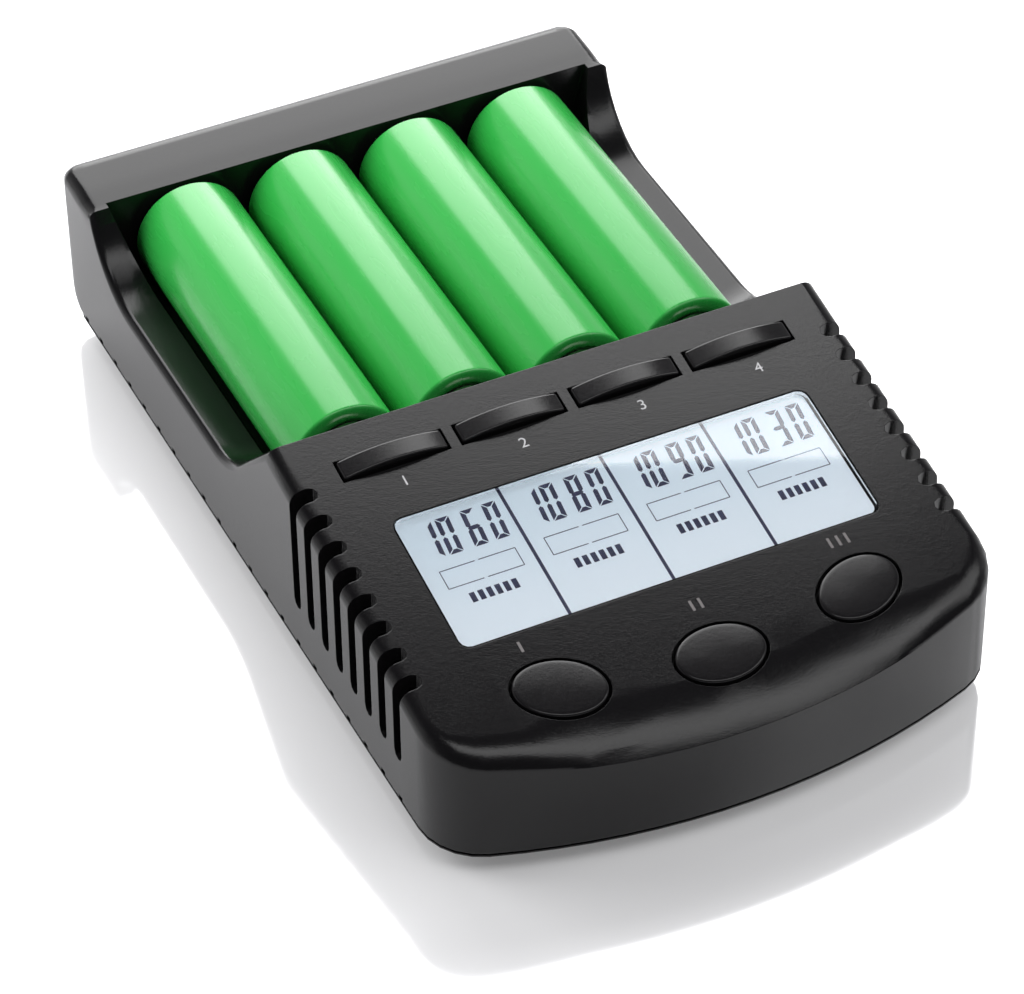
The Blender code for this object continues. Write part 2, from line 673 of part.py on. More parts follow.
def hollow_cutter():
    """The space inside: high under the panel and in the head, low under the bay."""
    cutter = add_cutter("hollow", skin_mesh("hollow", WALL))
    front, back = PANEL_BACK_Y - WALL, BAY_BACK_Y + WALL
    outer, low, high = BODY_LENGTH, -2 * CLEAR, PANEL_BACK_Z + CLEAR
    profile = [(-outer, low), (outer, low), (outer, high), (back, high), (back, TRAY_CEILING_Z),
               (front, TRAY_CEILING_Z), (front, high), (-outer, high)]
    bm = bmesh.new()
    put_prism(bm, profile, -BODY_WIDTH, BODY_WIDTH, across_frame())
    combine(cutter, add_cutter("hollow_limit", finish_mesh(bm, "hollow_limit")), "INTERSECT")
    return cutter


def across_frame():
    """Turns an outline drawn in X and Y into one in Y and Z, raised along X."""
    return Matrix(((0, 0, 1, 0), (1, 0, 0, 0), (0, 1, 0, 0), (0, 0, 0, 1)))


def lengthwise_frame():
    """Turns an outline drawn in X and Y into one in X and Z, raised along Y."""
    return Matrix(((1, 0, 0, 0), (0, 0, 1, 0), (0, 1, 0, 0), (0, 0, 0, 1)))


def bay_side_x(z):
    return RIM_HALF_WIDTH + BAY_SIDE_SLOPE * (z - RIM_Z)


def bay_outline():
    """Section of the bay: four troughs with ridges between them and sides that lean out."""
    half_angle = math.acos((CELL_AXIS_Z - RIDGE_Z) / TROUGH_RADIUS)
    high = PANEL_BACK_Z + CLEAR
    points = [(-bay_side_x(high), high)]
    points += [(-x, z) for x, z in reversed(bay_foot(half_angle))]
    for centre in CELL_XS:
        for i in range(ARC_STEPS * 2 + 1):
            angle = half_angle * (i / ARC_STEPS - 1)
            x = centre + TROUGH_RADIUS * math.sin(angle)
            points.append((x, CELL_AXIS_Z - TROUGH_RADIUS * math.cos(angle)))
    points += bay_foot(half_angle)
    points.append((bay_side_x(high), high))
    return points


def bay_foot(half_angle):
    """The curve from the last trough's edge up into the leaning side."""
    start = CELL_XS[-1] + TROUGH_RADIUS * math.sin(half_angle)
    bend, end = bay_side_x(RIDGE_Z), bay_side_x(BAY_SIDE_FOOT_Z)
    points = []
    for i in range(1, ARC_STEPS + 1):
        t = i / ARC_STEPS
        x = (1 - t) ** 2 * start + 2 * t * (1 - t) * bend + t ** 2 * end
        z = (1 - t ** 2) * RIDGE_Z + t ** 2 * BAY_SIDE_FOOT_Z
        points.append((x, z))
    return points


def bay_cutter():
    bm = bmesh.new()
    put_prism(bm, bay_outline(), PANEL_BACK_Y, BAY_BACK_Y, lengthwise_frame())
    return add_cutter("bay", finish_mesh(bm, "bay"))


def boss_cutter():
    """Screw bosses and the display board's posts, which are joined to the moulding."""
    bm = bmesh.new()
    for x, y in BOSS_PLACES:
        in_front = y < PANEL_BACK_Y
        top = panel_z(y) - WALL / 2 if in_front else TRAY_CEILING_Z + TRAY_FLOOR / 2
        put_cylinder(bm, BOSS_RADIUS, (x, y, BOSS_BOTTOM_Z), (x, y, top), ROUND_SEGMENTS // 2)
    for x, setback in ((POST_BACK_X, POST_BACK_SETBACK), (POST_FRONT_X, POST_FRONT_SETBACK)):
        for side in (-1, 1):
            frame = panel_frame(side * x, PANEL_BACK_Y - setback)
            put_cylinder(bm, POST_RADIUS, (0, 0, BOARD_TOP + GAP), (0, 0, -WALL / 2), SMALL_SEGMENTS, frame)
    return add_cutter("bosses", finish_mesh(bm, "bosses"))


def put_vent(bm, side, y):
    """One side vent: round where it ends on the panel and round at its foot in the wall."""
    radius = VENT_WIDTH / 2
    inner = VENT_INNER_X + radius
    outer, high = HALF_WIDTH + CLEAR / 4, panel_z(y) + CLEAR / 2
    foot = VENT_BOTTOM_Z + radius
    points = []
    for i in range(SMALL_SEGMENTS // 3 + 1):
        angle = math.pi * i / (SMALL_SEGMENTS // 3)
        along, away = radius * math.cos(angle), radius * math.sin(angle)
        points += [(inner - away, y + along, foot), (inner - away, y + along, high)]
        points += [(inner, y + along, foot - away), (outer, y + along, foot - away)]
    points += [(outer, y - radius, high), (outer, y + radius, high)]
    made = [bm.verts.new((side * x, py, z)) for x, py, z in points]
    hull = bmesh.ops.convex_hull(bm, input=made)
    spare = [item for item in hull["geom_interior"] if isinstance(item, bmesh.types.BMVert)]
    bmesh.ops.delete(bm, geom=spare, context="VERTS")


def vent_cutter():
    bm = bmesh.new()
    for side in (-1, 1):
        for i in range(VENT_COUNT):
            put_vent(bm, side, PANEL_BACK_Y - VENT_FIRST_SETBACK - VENT_PITCH * i)
    return add_cutter("vents", finish_mesh(bm, "vents"))


def recess_cutter():
    """Shallow cuts: the window's seat, the contacts' seats and the notches along the seam."""
    bm = bmesh.new()
    frame = panel_frame(0.0, WINDOW_Y)
    outline = rounded_outline(WINDOW_HALF_WIDTH + WINDOW_ROOM, WINDOW_HALF_DEPTH + WINDOW_ROOM,
                              WINDOW_CORNER + WINDOW_ROOM, ARC_STEPS // 2)
    put_prism(bm, outline, -WINDOW_THICKNESS - GAP, CLEAR / 2, frame)
    half_x, half_z = CONTACT_WIDTH / 2 + GAP, CONTACT_HEIGHT / 2 + GAP
    for x in CELL_XS:
        put_box(bm, (x - half_x, BAY_BACK_Y - WALL / 2, CELL_AXIS_Z - half_z),
                (x + half_x, CONTACT_Y + CONTACT_THICKNESS + GAP, CELL_AXIS_Z + half_z))
    for side in (-1, 1):
        x = side * HALF_WIDTH
        for i in range(NOTCH_COUNT):
            y = BACK_Y - NOTCH_BACK_MARGIN - NOTCH_PITCH * i
            put_box(bm, (x - NOTCH_DEPTH, y - NOTCH_LENGTH / 2, SEAM_Z - NOTCH_HEIGHT),
                    (x + NOTCH_DEPTH, y + NOTCH_LENGTH / 2, SEAM_Z + NOTCH_HEIGHT))
    return add_cutter("recesses", finish_mesh(bm, "recesses"))


def through_cutter():
    """Cuts that go right through a wall: keys, buttons, display, sliders, contacts, jack, screws."""
    bm = bmesh.new()
    half_length, half_width = KEY_LENGTH / 2 + GAP, KEY_WIDTH / 2 + GAP
    for x in KEY_XS:
        put_box(bm, (-half_length, -half_width, -WALL * 2), (half_length, half_width, CLEAR / 4),
                panel_frame(x, KEY_Y))
    half_length = BUTTON_HALF_LENGTH + BUTTON_RUNNING_GAP
    half_width = BUTTON_HALF_WIDTH + BUTTON_RUNNING_GAP
    for x, y, turn in BUTTONS.values():
        rings = [oval_ring(half_length, half_width, z) for z in (-WALL * 2, CLEAR / 4)]
        put_levels(bm, rings, panel_frame(x, y, turn))
    outline = rounded_outline(WINDOW_HALF_WIDTH - WINDOW_LEDGE, WINDOW_HALF_DEPTH - WINDOW_LEDGE,
                              WINDOW_CORNER, ARC_STEPS // 2)
    put_prism(bm, outline, -WALL * 2, CLEAR / 4, panel_frame(0.0, WINDOW_Y))
    for x in CELL_XS:
        put_box(bm, (x - ARM_WIDTH / 2 - GAP, PANEL_BACK_Y - WALL * 2, ARM_BOTTOM_Z - GAP),
                (x + ARM_WIDTH / 2 + GAP, PANEL_BACK_Y + WALL, ARM_BOTTOM_Z + ARM_THICKNESS + GAP))
        put_box(bm, (x - CONTACT_TAB_WIDTH / 2 - GAP, BAY_BACK_Y - WALL / 2,
                     CELL_AXIS_Z - CONTACT_THICKNESS / 2 - GAP),
                (x + CONTACT_TAB_WIDTH / 2 + GAP, BAY_BACK_Y + WALL * 2,
                 CELL_AXIS_Z + CONTACT_THICKNESS / 2 + GAP))
    put_cylinder(bm, JACK_BORE_RADIUS, (0, BACK_Y - WALL * 2, JACK_AXIS_Z),
                 (0, BACK_Y + CLEAR, JACK_AXIS_Z), ROUND_SEGMENTS // 2)
    put_box(bm, (-JACK_HALF_WIDTH - GAP, JACK_FRONT_Y - GAP, JACK_BOTTOM_Z),
            (JACK_HALF_WIDTH + GAP, BAY_BACK_Y + WALL, JACK_BOTTOM_Z + JACK_HEIGHT + GAP))
    for x, y in BOSS_PLACES:
        put_cylinder(bm, SCREW_RADIUS + GAP, (x, y, 0.0), (x, y, SCREW_SEAT_Z + SCREW_LENGTH + GAP),
                     SMALL_SEGMENTS)
    return add_cutter("through_cuts", finish_mesh(bm, "through_cuts"))


def top_housing():
    housing = add_part("top_housing", skin_mesh("top_housing", 0.0), SHELL)
    combine(housing, hollow_cutter(), "DIFFERENCE")
    combine(housing, bay_cutter(), "DIFFERENCE")
    combine(housing, boss_cutter(), "UNION")
    combine(housing, recess_cutter(), "DIFFERENCE")
    combine(housing, through_cutter(), "DIFFERENCE")
    combine(housing, vent_cutter(), "DIFFERENCE")


# The base cover and what it carries

def base_mesh():
    """The cover's plate with its sloping edge and the tongue that stands inside the housing."""
    edge_z = SEAM_Z - GAP
    inner = TONGUE_INSET + TONGUE_THICKNESS
    levels = [(BASE_SLOPE_IN, BASE_BOTTOM_Z), (0.0, edge_z - BASE_EDGE), (0.0, edge_z),
              (TONGUE_INSET, edge_z), (TONGUE_INSET, TONGUE_TOP_Z), (inner, TONGUE_TOP_Z),
              (inner, BASE_FLOOR_Z)]
    bm = bmesh.new()
    rings = [level_ring(plan_stations(inset), z, BACK_UNDER_ROUND) for inset, z in levels]
    loft(bm, rings, first_side(plan_stations(0.0)))
    return finish_mesh(bm, "base_cover")


def base_additions():
    """The springs' ribs, the board's pads and the jack's pad."""
    bm = bmesh.new()
    root = BASE_FLOOR_Z - BASE_FLOOR / 2
    for x in CELL_XS:
        put_box(bm, (x - RIB_WIDTH / 2, RIB_FRONT_Y, root),
                (x + RIB_WIDTH / 2, RIB_BACK_Y, RIB_TOP_Z))
    inner_y = (POWER_BOARD_FRONT_Y + PAD_SIZE, POWER_BOARD_BACK_Y - PAD_SIZE)
    for x in (-PAD_X, PAD_X):
        for y in inner_y:
            put_box(bm, (x - PAD_SIZE / 2, y - PAD_SIZE / 2, root),
                    (x + PAD_SIZE / 2, y + PAD_SIZE / 2, POWER_BOARD_Z - GAP))
    put_box(bm, (-JACK_HALF_WIDTH, JACK_FRONT_Y + PAD_SIZE, root),
            (JACK_HALF_WIDTH, JACK_FRONT_Y + PAD_SIZE * 2, JACK_BOTTOM_Z - GAP))
    return add_cutter("base_additions", finish_mesh(bm, "base_additions"))


def base_cuts():
    """Seats for the feet and screws, and the gap in the tongue for the jack."""
    bm = bmesh.new()
    for x, y in BOSS_PLACES:
        put_cylinder(bm, SCREW_HEAD_RADIUS + GAP, (x, y, 0.0), (x, y, SCREW_SEAT_Z), SMALL_SEGMENTS)
    for x, y in FOOT_PLACES:
        put_cylinder(bm, FOOT_RADIUS + GAP, (x, y, 0.0), (x, y, FOOT_HEIGHT + GAP), FOOT_SEGMENTS)
    tongue_y = BACK_Y - BACK_UNDER_ROUND - TONGUE_INSET
    put_box(bm, (-JACK_HALF_WIDTH - GAP * 2, tongue_y - TONGUE_THICKNESS - GAP, BASE_FLOOR_Z),
            (JACK_HALF_WIDTH + GAP * 2, tongue_y + GAP, CLEAR))
    return add_cutter("base_cuts", finish_mesh(bm, "base_cuts"))


def base_screw_holes():
    bm = bmesh.new()
    for x, y in BOSS_PLACES:
        put_cylinder(bm, SCREW_RADIUS + GAP, (x, y, 0.0), (x, y, BASE_FLOOR_Z + GAP), SMALL_SEGMENTS)
    return add_cutter("base_screw_holes", finish_mesh(bm, "base_screw_holes"))


def base_cover():
    cover = add_part("base_cover", base_mesh(), SHELL)
    combine(cover, base_additions(), "UNION")
    combine(cover, base_cuts(), "DIFFERENCE")
    combine(cover, base_screw_holes(), "DIFFERENCE")


def screws_and_feet():
    top = SCREW_SEAT_Z - GAP
    head, shank = SCREW_HEAD_RADIUS, SCREW_RADIUS
    profile = [(0.0, top + SCREW_LENGTH), (shank / 2, top + SCREW_LENGTH),
               (shank, top + SCREW_LENGTH - shank), (shank, top), (head, top),
               (head, top - SCREW_HEAD_HEIGHT * 0.5), (head * 0.7, top - SCREW_HEAD_HEIGHT),
               (0.0, top - SCREW_HEAD_HEIGHT)]
    for i, (x, y) in enumerate(BOSS_PLACES, 1):
        turned(f"screw_{i}", profile, SMALL_SEGMENTS, STEEL, Matrix.Translation((x, y, 0.0)))
    edge = FOOT_HEIGHT * 0.3
    profile = [(0.0, FOOT_HEIGHT), (FOOT_RADIUS, FOOT_HEIGHT), (FOOT_RADIUS, edge),
               (FOOT_RADIUS - edge, 0.0), (0.0, 0.0)]
    for i, (x, y) in enumerate(FOOT_PLACES, 1):
        turned(f"foot_{i}", profile, FOOT_SEGMENTS, RUBBER, Matrix.Translation((x, y, 0.0)))


# Cells, contacts and sliders

def cells():
    """AA cells that lie with their positive ends at the head."""
    radius, nub = CELL_RADIUS, CELL_NUB_RADIUS
    tip = CELL_CAN + CELL_NUB
    profile = [(0.0, tip), (nub - CELL_NUB / 4, tip), (nub, tip - CELL_NUB / 4), (nub, CELL_CAN),
               (radius - CELL_BACK_EDGE, CELL_CAN), (radius, CELL_CAN - CELL_BACK_EDGE),
               (radius, CELL_FRONT_EDGE), (radius - CELL_FRONT_EDGE, 0.0), (CELL_SKIRT_RADIUS, 0.0),
               (CELL_SKIRT_RADIUS, CELL_SKIRT_DEPTH), (0.0, CELL_SKIRT_DEPTH)]
    lying = Matrix.Rotation(-math.pi / 2, 4, "X")
    for i, x in enumerate(CELL_XS, 1):
        place = Matrix.Translation((x, CELL_FRONT_Y, CELL_AXIS_Z)) @ lying
        turned(f"cell_{i}", profile, ROUND_SEGMENTS, WRAPPER, place)


def positive_contacts():
    """Plates in the head's wall, each with a tab that runs through the wall."""
    half_x, half_z = CONTACT_WIDTH / 2, CONTACT_HEIGHT / 2
    plate = add_cutter("contact_plate", box_mesh("contact_plate", (-half_x, 0.0, -half_z),
                                                 (half_x, CONTACT_THICKNESS, half_z)))
    tab = box_mesh("contact_tab", (-CONTACT_TAB_WIDTH / 2, CONTACT_THICKNESS / 2, -CONTACT_THICKNESS / 2),
                   (CONTACT_TAB_WIDTH / 2, CONTACT_TAB_LENGTH, CONTACT_THICKNESS / 2))
    combine(plate, add_cutter("contact_tab", tab), "UNION")
    mesh = baked(plate, "positive_contact")
    for i, x in enumerate(CELL_XS, 1):
        place = Matrix.Translation((x, CONTACT_Y, CELL_AXIS_Z))
        add_part(f"positive_contact_{i}", mesh, STEEL, place)


def slider_mesh():
    """A round-topped plate, its arm through the panel's back wall and the spring's flange."""
    half = PLATE_WIDTH / 2
    shoulder_z = PLATE_TOP_Z - half
    points = [(-half, ARM_BOTTOM_Z - ARM_AXIS_Z), (half, ARM_BOTTOM_Z - ARM_AXIS_Z)]
    for i in range(SMALL_SEGMENTS + 1):
        angle = math.pi * i / SMALL_SEGMENTS
        points.append((half * math.cos(angle), shoulder_z - ARM_AXIS_Z + half * math.sin(angle)))
    bm = bmesh.new()
    put_prism(bm, points, -PLATE_THICKNESS, 0.0, lengthwise_frame())
    plate = add_cutter("slider_plate", finish_mesh(bm, "slider_plate"))
    flange_front = FLANGE_FRONT_Y - PLATE_BACK_Y
    flange_back = flange_front + FLANGE_THICKNESS
    bm = bmesh.new()
    put_box(bm, (-ARM_WIDTH / 2, flange_back - FLANGE_THICKNESS / 2, -ARM_THICKNESS / 2),
            (ARM_WIDTH / 2, -PLATE_THICKNESS / 2, ARM_THICKNESS / 2))
    arm = add_cutter("slider_arm", finish_mesh(bm, "slider_arm"))
    flange = box_mesh("slider_flange", (-FLANGE_SIZE / 2, flange_front, -FLANGE_SIZE / 2),
                      (FLANGE_SIZE / 2, flange_back, FLANGE_SIZE / 2))
    combine(plate, arm, "UNION")
    combine(plate, add_cutter("slider_flange", flange), "UNION")
    return baked(plate, "negative_slider")


def coil_mesh():
    """A slider's spring as a wire that winds forward from the flange."""
    curve = bpy.data.curves.new("coil", "CURVE")
    curve.dimensions = "3D"
    curve.bevel_depth = SPRING_WIRE / 2
    curve.bevel_resolution = 1
    curve.use_fill_caps = True
    count = SPRING_TURNS * COIL_POINTS
    spline = curve.splines.new("POLY")
    spline.points.add(count)
    run = SPRING_LENGTH - SPRING_WIRE
    for i in range(count + 1):
        angle = math.tau * i / COIL_POINTS
        y = -SPRING_WIRE / 2 - run * i / count
        spline.points[i].co = (SPRING_RADIUS * math.cos(angle), y, SPRING_RADIUS * math.sin(angle), 1.0)
    wire = add_cutter("coil", curve)
    mesh = baked(wire, "slider_spring")
    bpy.data.objects.remove(wire, do_unlink=True)
    return mesh


def sliders():
    plate, coil = slider_mesh(), coil_mesh()
    for i, x in enumerate(CELL_XS, 1):
        add_part(f"negative_slider_{i}", plate, STEEL, Matrix.Translation((x, PLATE_BACK_Y, ARM_AXIS_Z)))
        place = Matrix.Translation((x, SPRING_BACK_Y, ARM_AXIS_Z))
        add_part(f"slider_spring_{i}", coil, STEEL, place, smooth=True)


# Keys, buttons and switches

def key_mesh():
    """An arched key with a flange at each end that stops it under the panel."""
    half, rise = KEY_LENGTH / 2, KEY_CROWN - KEY_END_RISE
    radius = (half ** 2 + rise ** 2) / (2 * rise)
    half_angle = math.asin(half / radius)
    wide = half + KEY_FLANGE
    points = [(-wide, FLANGE_BOTTOM), (wide, FLANGE_BOTTOM), (wide, FLANGE_TOP), (half, FLANGE_TOP)]
    steps = ARC_STEPS + 2
    for i in range(steps + 1):
        angle = half_angle * (1 - 2 * i / steps)
        points.append((radius * math.sin(angle), KEY_CROWN - radius * (1 - math.cos(angle))))
    points += [(-half, FLANGE_TOP), (-wide, FLANGE_TOP)]
    bm = bmesh.new()
    put_prism(bm, points, -KEY_WIDTH / 2, KEY_WIDTH / 2, lengthwise_frame())
    return finish_mesh(bm, "slot_key")


def button_mesh():
    """An oval button with a low dome and a flange under the panel."""
    length, width = BUTTON_HALF_LENGTH, BUTTON_HALF_WIDTH
    wide = BUTTON_FLANGE
    edge = BUTTON_RISE / 2
    rings = [oval_ring(length + wide, width + wide, FLANGE_BOTTOM),
             oval_ring(length + wide, width + wide, FLANGE_TOP),
             oval_ring(length, width, FLANGE_TOP),
             oval_ring(length, width, 0.0),
             oval_ring(length - edge, width - edge, edge),
             oval_ring(length * 0.5, width * 0.5, BUTTON_RISE)]
    bm = bmesh.new()
    put_levels(bm, rings)
    return finish_mesh(bm, "button")


def switch_mesh():
    """A tactile switch's body with a bore for its plunger."""
    half = SWITCH_SIZE / 2
    body = add_cutter("switch_body", box_mesh("switch_body", (-half, -half, SWITCH_BOTTOM),
                                              (half, half, SWITCH_TOP)))
    bm = bmesh.new()
    put_cylinder(bm, PLUNGER_RADIUS + GAP, (0, 0, PLUNGER_BOTTOM - KEY_TRAVEL - GAP), (0, 0, CLEAR),
                 SMALL_SEGMENTS)
    combine(body, add_cutter("switch_bore", finish_mesh(bm, "switch_bore")), "DIFFERENCE")
    return baked(body, "switch")


def plunger_mesh():
    bm = bmesh.new()
    put_cylinder(bm, PLUNGER_RADIUS, (0, 0, PLUNGER_BOTTOM), (0, 0, PLUNGER_TOP), SMALL_SEGMENTS)
    return finish_mesh(bm, "plunger")


def keys_and_buttons():
    key, button, switch, plunger = key_mesh(), button_mesh(), switch_mesh(), plunger_mesh()
    for i, x in enumerate(KEY_XS, 1):
        frame = panel_frame(x, KEY_Y)
        obj = add_part(f"slot_key_{i}", key, KEYS, frame)
        bevel = obj.modifiers.new("Edges", "BEVEL")
        bevel.width = KEY_BEVEL
        bevel.segments = 1
        bevel.limit_method = "ANGLE"
        bevel.angle_limit = math.radians(40)
        add_part(f"slot_switch_{i}", switch, MOULDED, frame)
        add_part(f"slot_plunger_{i}", plunger, MOULDED, frame)
    for name, (x, y, turn) in BUTTONS.items():
        frame = panel_frame(x, y, turn)
        add_part(f"{name}_button", button, KEYS, frame, smooth=True)
        add_part(f"{name}_switch", switch, MOULDED, frame)
        add_part(f"{name}_plunger", plunger, MOULDED, frame)


# Display and boards

def plate(name, half_x, y_low, y_high, z_low, z_high, material):
    """A flat piece that lies parallel to the panel under the window."""
    mesh = box_mesh(name, (-half_x, y_low, z_low), (half_x, y_high, z_high))
    return add_part(name, mesh, material, panel_frame(0.0, WINDOW_Y))


def display():
    bm = bmesh.new()
    outline = rounded_outline(WINDOW_HALF_WIDTH, WINDOW_HALF_DEPTH, WINDOW_CORNER, ARC_STEPS // 2)
    put_prism(bm, outline, -WINDOW_THICKNESS, 0.0)
    add_part("display_window", finish_mesh(bm, "display_window"), CLEAR_PLASTIC, panel_frame(0.0, WINDOW_Y))
    half = WINDOW_HALF_DEPTH - WINDOW_LEDGE / 2
    plate("lcd_panel", LCD_HALF_WIDTH, -half, half, FLANGE_TOP - LCD_THICKNESS, FLANGE_TOP, GLASS)
    plate("backlight", LCD_HALF_WIDTH, -half, half, BACKLIGHT_TOP - BACKLIGHT_THICKNESS, BACKLIGHT_TOP,
          DIFFUSER)
    slope = math.cos(PANEL_TILT)
    back = PANEL_BACK_Y - WALL - GAP - WINDOW_Y + BOARD_BOTTOM * math.sin(PANEL_TILT)
    front = (BUTTON_FRONT_Y - WINDOW_Y) / slope - SWITCH_SIZE / 2 - BOARD_FRONT_MARGIN
    plate("display_board", BOARD_HALF_WIDTH, front, back / slope, BOARD_BOTTOM, BOARD_TOP, BOARD)


def power_board():
    low = (-POWER_BOARD_HALF_WIDTH, POWER_BOARD_FRONT_Y, POWER_BOARD_Z)
    high = (POWER_BOARD_HALF_WIDTH, POWER_BOARD_BACK_Y, POWER_BOARD_TOP_Z)
    add_part("power_board", box_mesh("power_board", low, high), BOARD)
    seat = POWER_BOARD_TOP_Z + GAP
    y = PANEL_BACK_Y - PART_SETBACK
    waist = INDUCTOR_RADIUS * 0.75
    brim = INDUCTOR_HEIGHT * 0.2
    profile = [(0.0, INDUCTOR_HEIGHT), (INDUCTOR_RADIUS, INDUCTOR_HEIGHT),
               (INDUCTOR_RADIUS, INDUCTOR_HEIGHT - brim), (waist, INDUCTOR_HEIGHT - brim),
               (waist, brim), (INDUCTOR_RADIUS, brim), (INDUCTOR_RADIUS, 0.0), (0.0, 0.0)]
    turned("inductor", profile, SMALL_SEGMENTS, FERRITE, Matrix.Translation((-CELL_PITCH, y, seat)))
    groove = CAPACITOR_RADIUS * 0.1
    profile = [(0.0, CAPACITOR_HEIGHT), (CAPACITOR_RADIUS - groove, CAPACITOR_HEIGHT),
               (CAPACITOR_RADIUS, CAPACITOR_HEIGHT - groove), (CAPACITOR_RADIUS, groove * 4),
               (CAPACITOR_RADIUS - groove, groove * 3), (CAPACITOR_RADIUS, groove * 2),
               (CAPACITOR_RADIUS, 0.0), (0.0, 0.0)]
    turned("capacitor", profile, SMALL_SEGMENTS, SLEEVE, Matrix.Translation((CELL_PITCH, y, seat)))


def dc_jack():
    """The inlet's body behind the hole in the head, with its bore and centre pin."""
    rise = JACK_BOTTOM_Z - SEAM_Z
    round_in = BACK_UNDER_ROUND - math.sqrt(BACK_UNDER_ROUND ** 2 - (BACK_UNDER_ROUND - rise) ** 2)
    back = BACK_Y - WALL - round_in - GAP
    body = add_part("dc_jack", box_mesh("dc_jack", (-JACK_HALF_WIDTH, JACK_FRONT_Y, JACK_BOTTOM_Z),
                                        (JACK_HALF_WIDTH, back, JACK_BOTTOM_Z + JACK_HEIGHT)), MOULDED)
    floor = back - JACK_BORE_DEPTH
    bm = bmesh.new()
    put_cylinder(bm, JACK_BORE_RADIUS, (0, floor, JACK_AXIS_Z), (0, BACK_Y + CLEAR, JACK_AXIS_Z),
                 ROUND_SEGMENTS // 2)
    combine(body, add_cutter("jack_bore", finish_mesh(bm, "jack_bore")), "DIFFERENCE")
    bm = bmesh.new()
    put_cylinder(bm, JACK_PIN_RADIUS, (0, floor - JACK_PIN_RADIUS, JACK_AXIS_Z),
                 (0, back - JACK_PIN_RADIUS, JACK_AXIS_Z), SMALL_SEGMENTS)
    combine(body, add_cutter("jack_pin", finish_mesh(bm, "jack_pin")), "UNION")


clear_scene()
PARTS = new_collection("battery_charger")
CUTTERS = new_collection("cutters")
SHELL = new_material("dark grey shell", (0.045, 0.045, 0.048), 0.45)
KEYS = new_material("grey keys", (0.060, 0.060, 0.063), 0.40)
MOULDED = new_material("black plastic", (0.020, 0.020, 0.020), 0.50)
CLEAR_PLASTIC = new_material("clear window", (0.75, 0.80, 0.85), 0.08)
GLASS = new_material("display glass", (0.62, 0.70, 0.78), 0.10)
DIFFUSER = new_material("white diffuser", (0.80, 0.82, 0.85), 0.50)
WRAPPER = new_material("green wrapper", (0.060, 0.480, 0.090), 0.30)
STEEL = new_material("nickel plated steel", (0.62, 0.62, 0.60), 0.30, 1.0)
BOARD = new_material("green board", (0.020, 0.160, 0.060), 0.45)
FERRITE = new_material("ferrite", (0.050, 0.050, 0.050), 0.70)
SLEEVE = new_material("black sleeve", (0.025, 0.025, 0.040), 0.40)
RUBBER = new_material("black rubber", (0.020, 0.020, 0.020), 0.85)
top_housing()
base_cover()
screws_and_feet()
cells()
positive_contacts()
sliders()
keys_and_buttons()
display()
power_board()
dc_jack()
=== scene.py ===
"""Looks, lights and camera for the four-bay AA battery charger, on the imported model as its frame."""

import math

import bmesh
import bpy
from mathutils import Matrix, Vector

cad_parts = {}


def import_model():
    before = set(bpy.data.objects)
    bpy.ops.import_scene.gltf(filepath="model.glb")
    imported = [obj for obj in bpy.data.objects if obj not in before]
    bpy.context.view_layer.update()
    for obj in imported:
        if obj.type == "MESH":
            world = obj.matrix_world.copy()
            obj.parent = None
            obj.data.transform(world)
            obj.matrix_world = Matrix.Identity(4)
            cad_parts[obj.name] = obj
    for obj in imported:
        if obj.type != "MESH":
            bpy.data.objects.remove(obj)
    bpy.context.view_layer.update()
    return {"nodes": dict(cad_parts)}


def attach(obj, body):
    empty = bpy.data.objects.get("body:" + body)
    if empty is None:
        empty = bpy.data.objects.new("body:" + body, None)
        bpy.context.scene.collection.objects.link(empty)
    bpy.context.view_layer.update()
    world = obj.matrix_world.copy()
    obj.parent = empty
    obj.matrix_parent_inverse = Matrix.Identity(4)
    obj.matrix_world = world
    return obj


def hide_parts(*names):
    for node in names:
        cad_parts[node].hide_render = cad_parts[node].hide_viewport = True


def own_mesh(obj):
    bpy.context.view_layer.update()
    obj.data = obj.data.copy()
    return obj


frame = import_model()
NODES = frame["nodes"]

# Camera of the photograph, in metres
CAMERA_PLACE = (-0.1798, -0.3800, 0.3695)
CAMERA_RIGHT = (0.90146, -0.43275, -0.00978)
CAMERA_UP = (0.29169, 0.59060, 0.75242)
CAMERA_BACK = (-0.31983, -0.68112, 0.65863)
LENS = 159.43
SENSOR = 36.0

# Panel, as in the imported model
PANEL_TILT = math.radians(11.14)
PANEL_BACK_Y = -0.0068
PANEL_BACK_Z = 0.0279

# Display
FILM_DROP = 0.0011
FILM_THICKNESS = 0.00006
FILM_HALF_WIDTH = 0.0266
FILM_BACK = -0.0149
FILM_FRONT = -0.0343
FILM_CORNER = 0.0010
MARK_FOOT = 0.00001
MARK_RISE = 0.00003
FIELD_PITCH = 0.01324
FIELD_FIRST_X = -0.01978
DIVIDER_WIDTH = 0.00042
DIGIT_TOP = -0.0161
DIGIT_HEIGHT = 0.00535
DIGIT_WIDTH = 0.00175
DIGIT_STROKE = 0.00058
DIGIT_LEAN = 0.075
DIGIT_XS = (-0.00300, -0.00250, 0.00070, 0.00341)
READINGS = ("1060", "1080", "1090", "1030")
SEGMENTS = {"0": "abcdef", "1": "bc", "3": "abcdg", "6": "acdefg", "8": "abcdefg", "9": "abcdfg"}
SEGMENT_GAP = 0.16
FRAME_LINE = 0.00011
FRAME_TOP = -0.02324
FRAME_BOTTOM = -0.02590
FRAME_LEFT = -0.00470
FRAME_RIGHT = 0.00484
FRAME_GAP_X = -0.00002
FRAME_GAP = 0.00046
BAR_TOP = -0.02725
BAR_HEIGHT = 0.00140
BAR_COUNT = 6
BAR_LEFT = -0.00290
BAR_PITCH = 0.00106
BAR_WIDTH = 0.00066

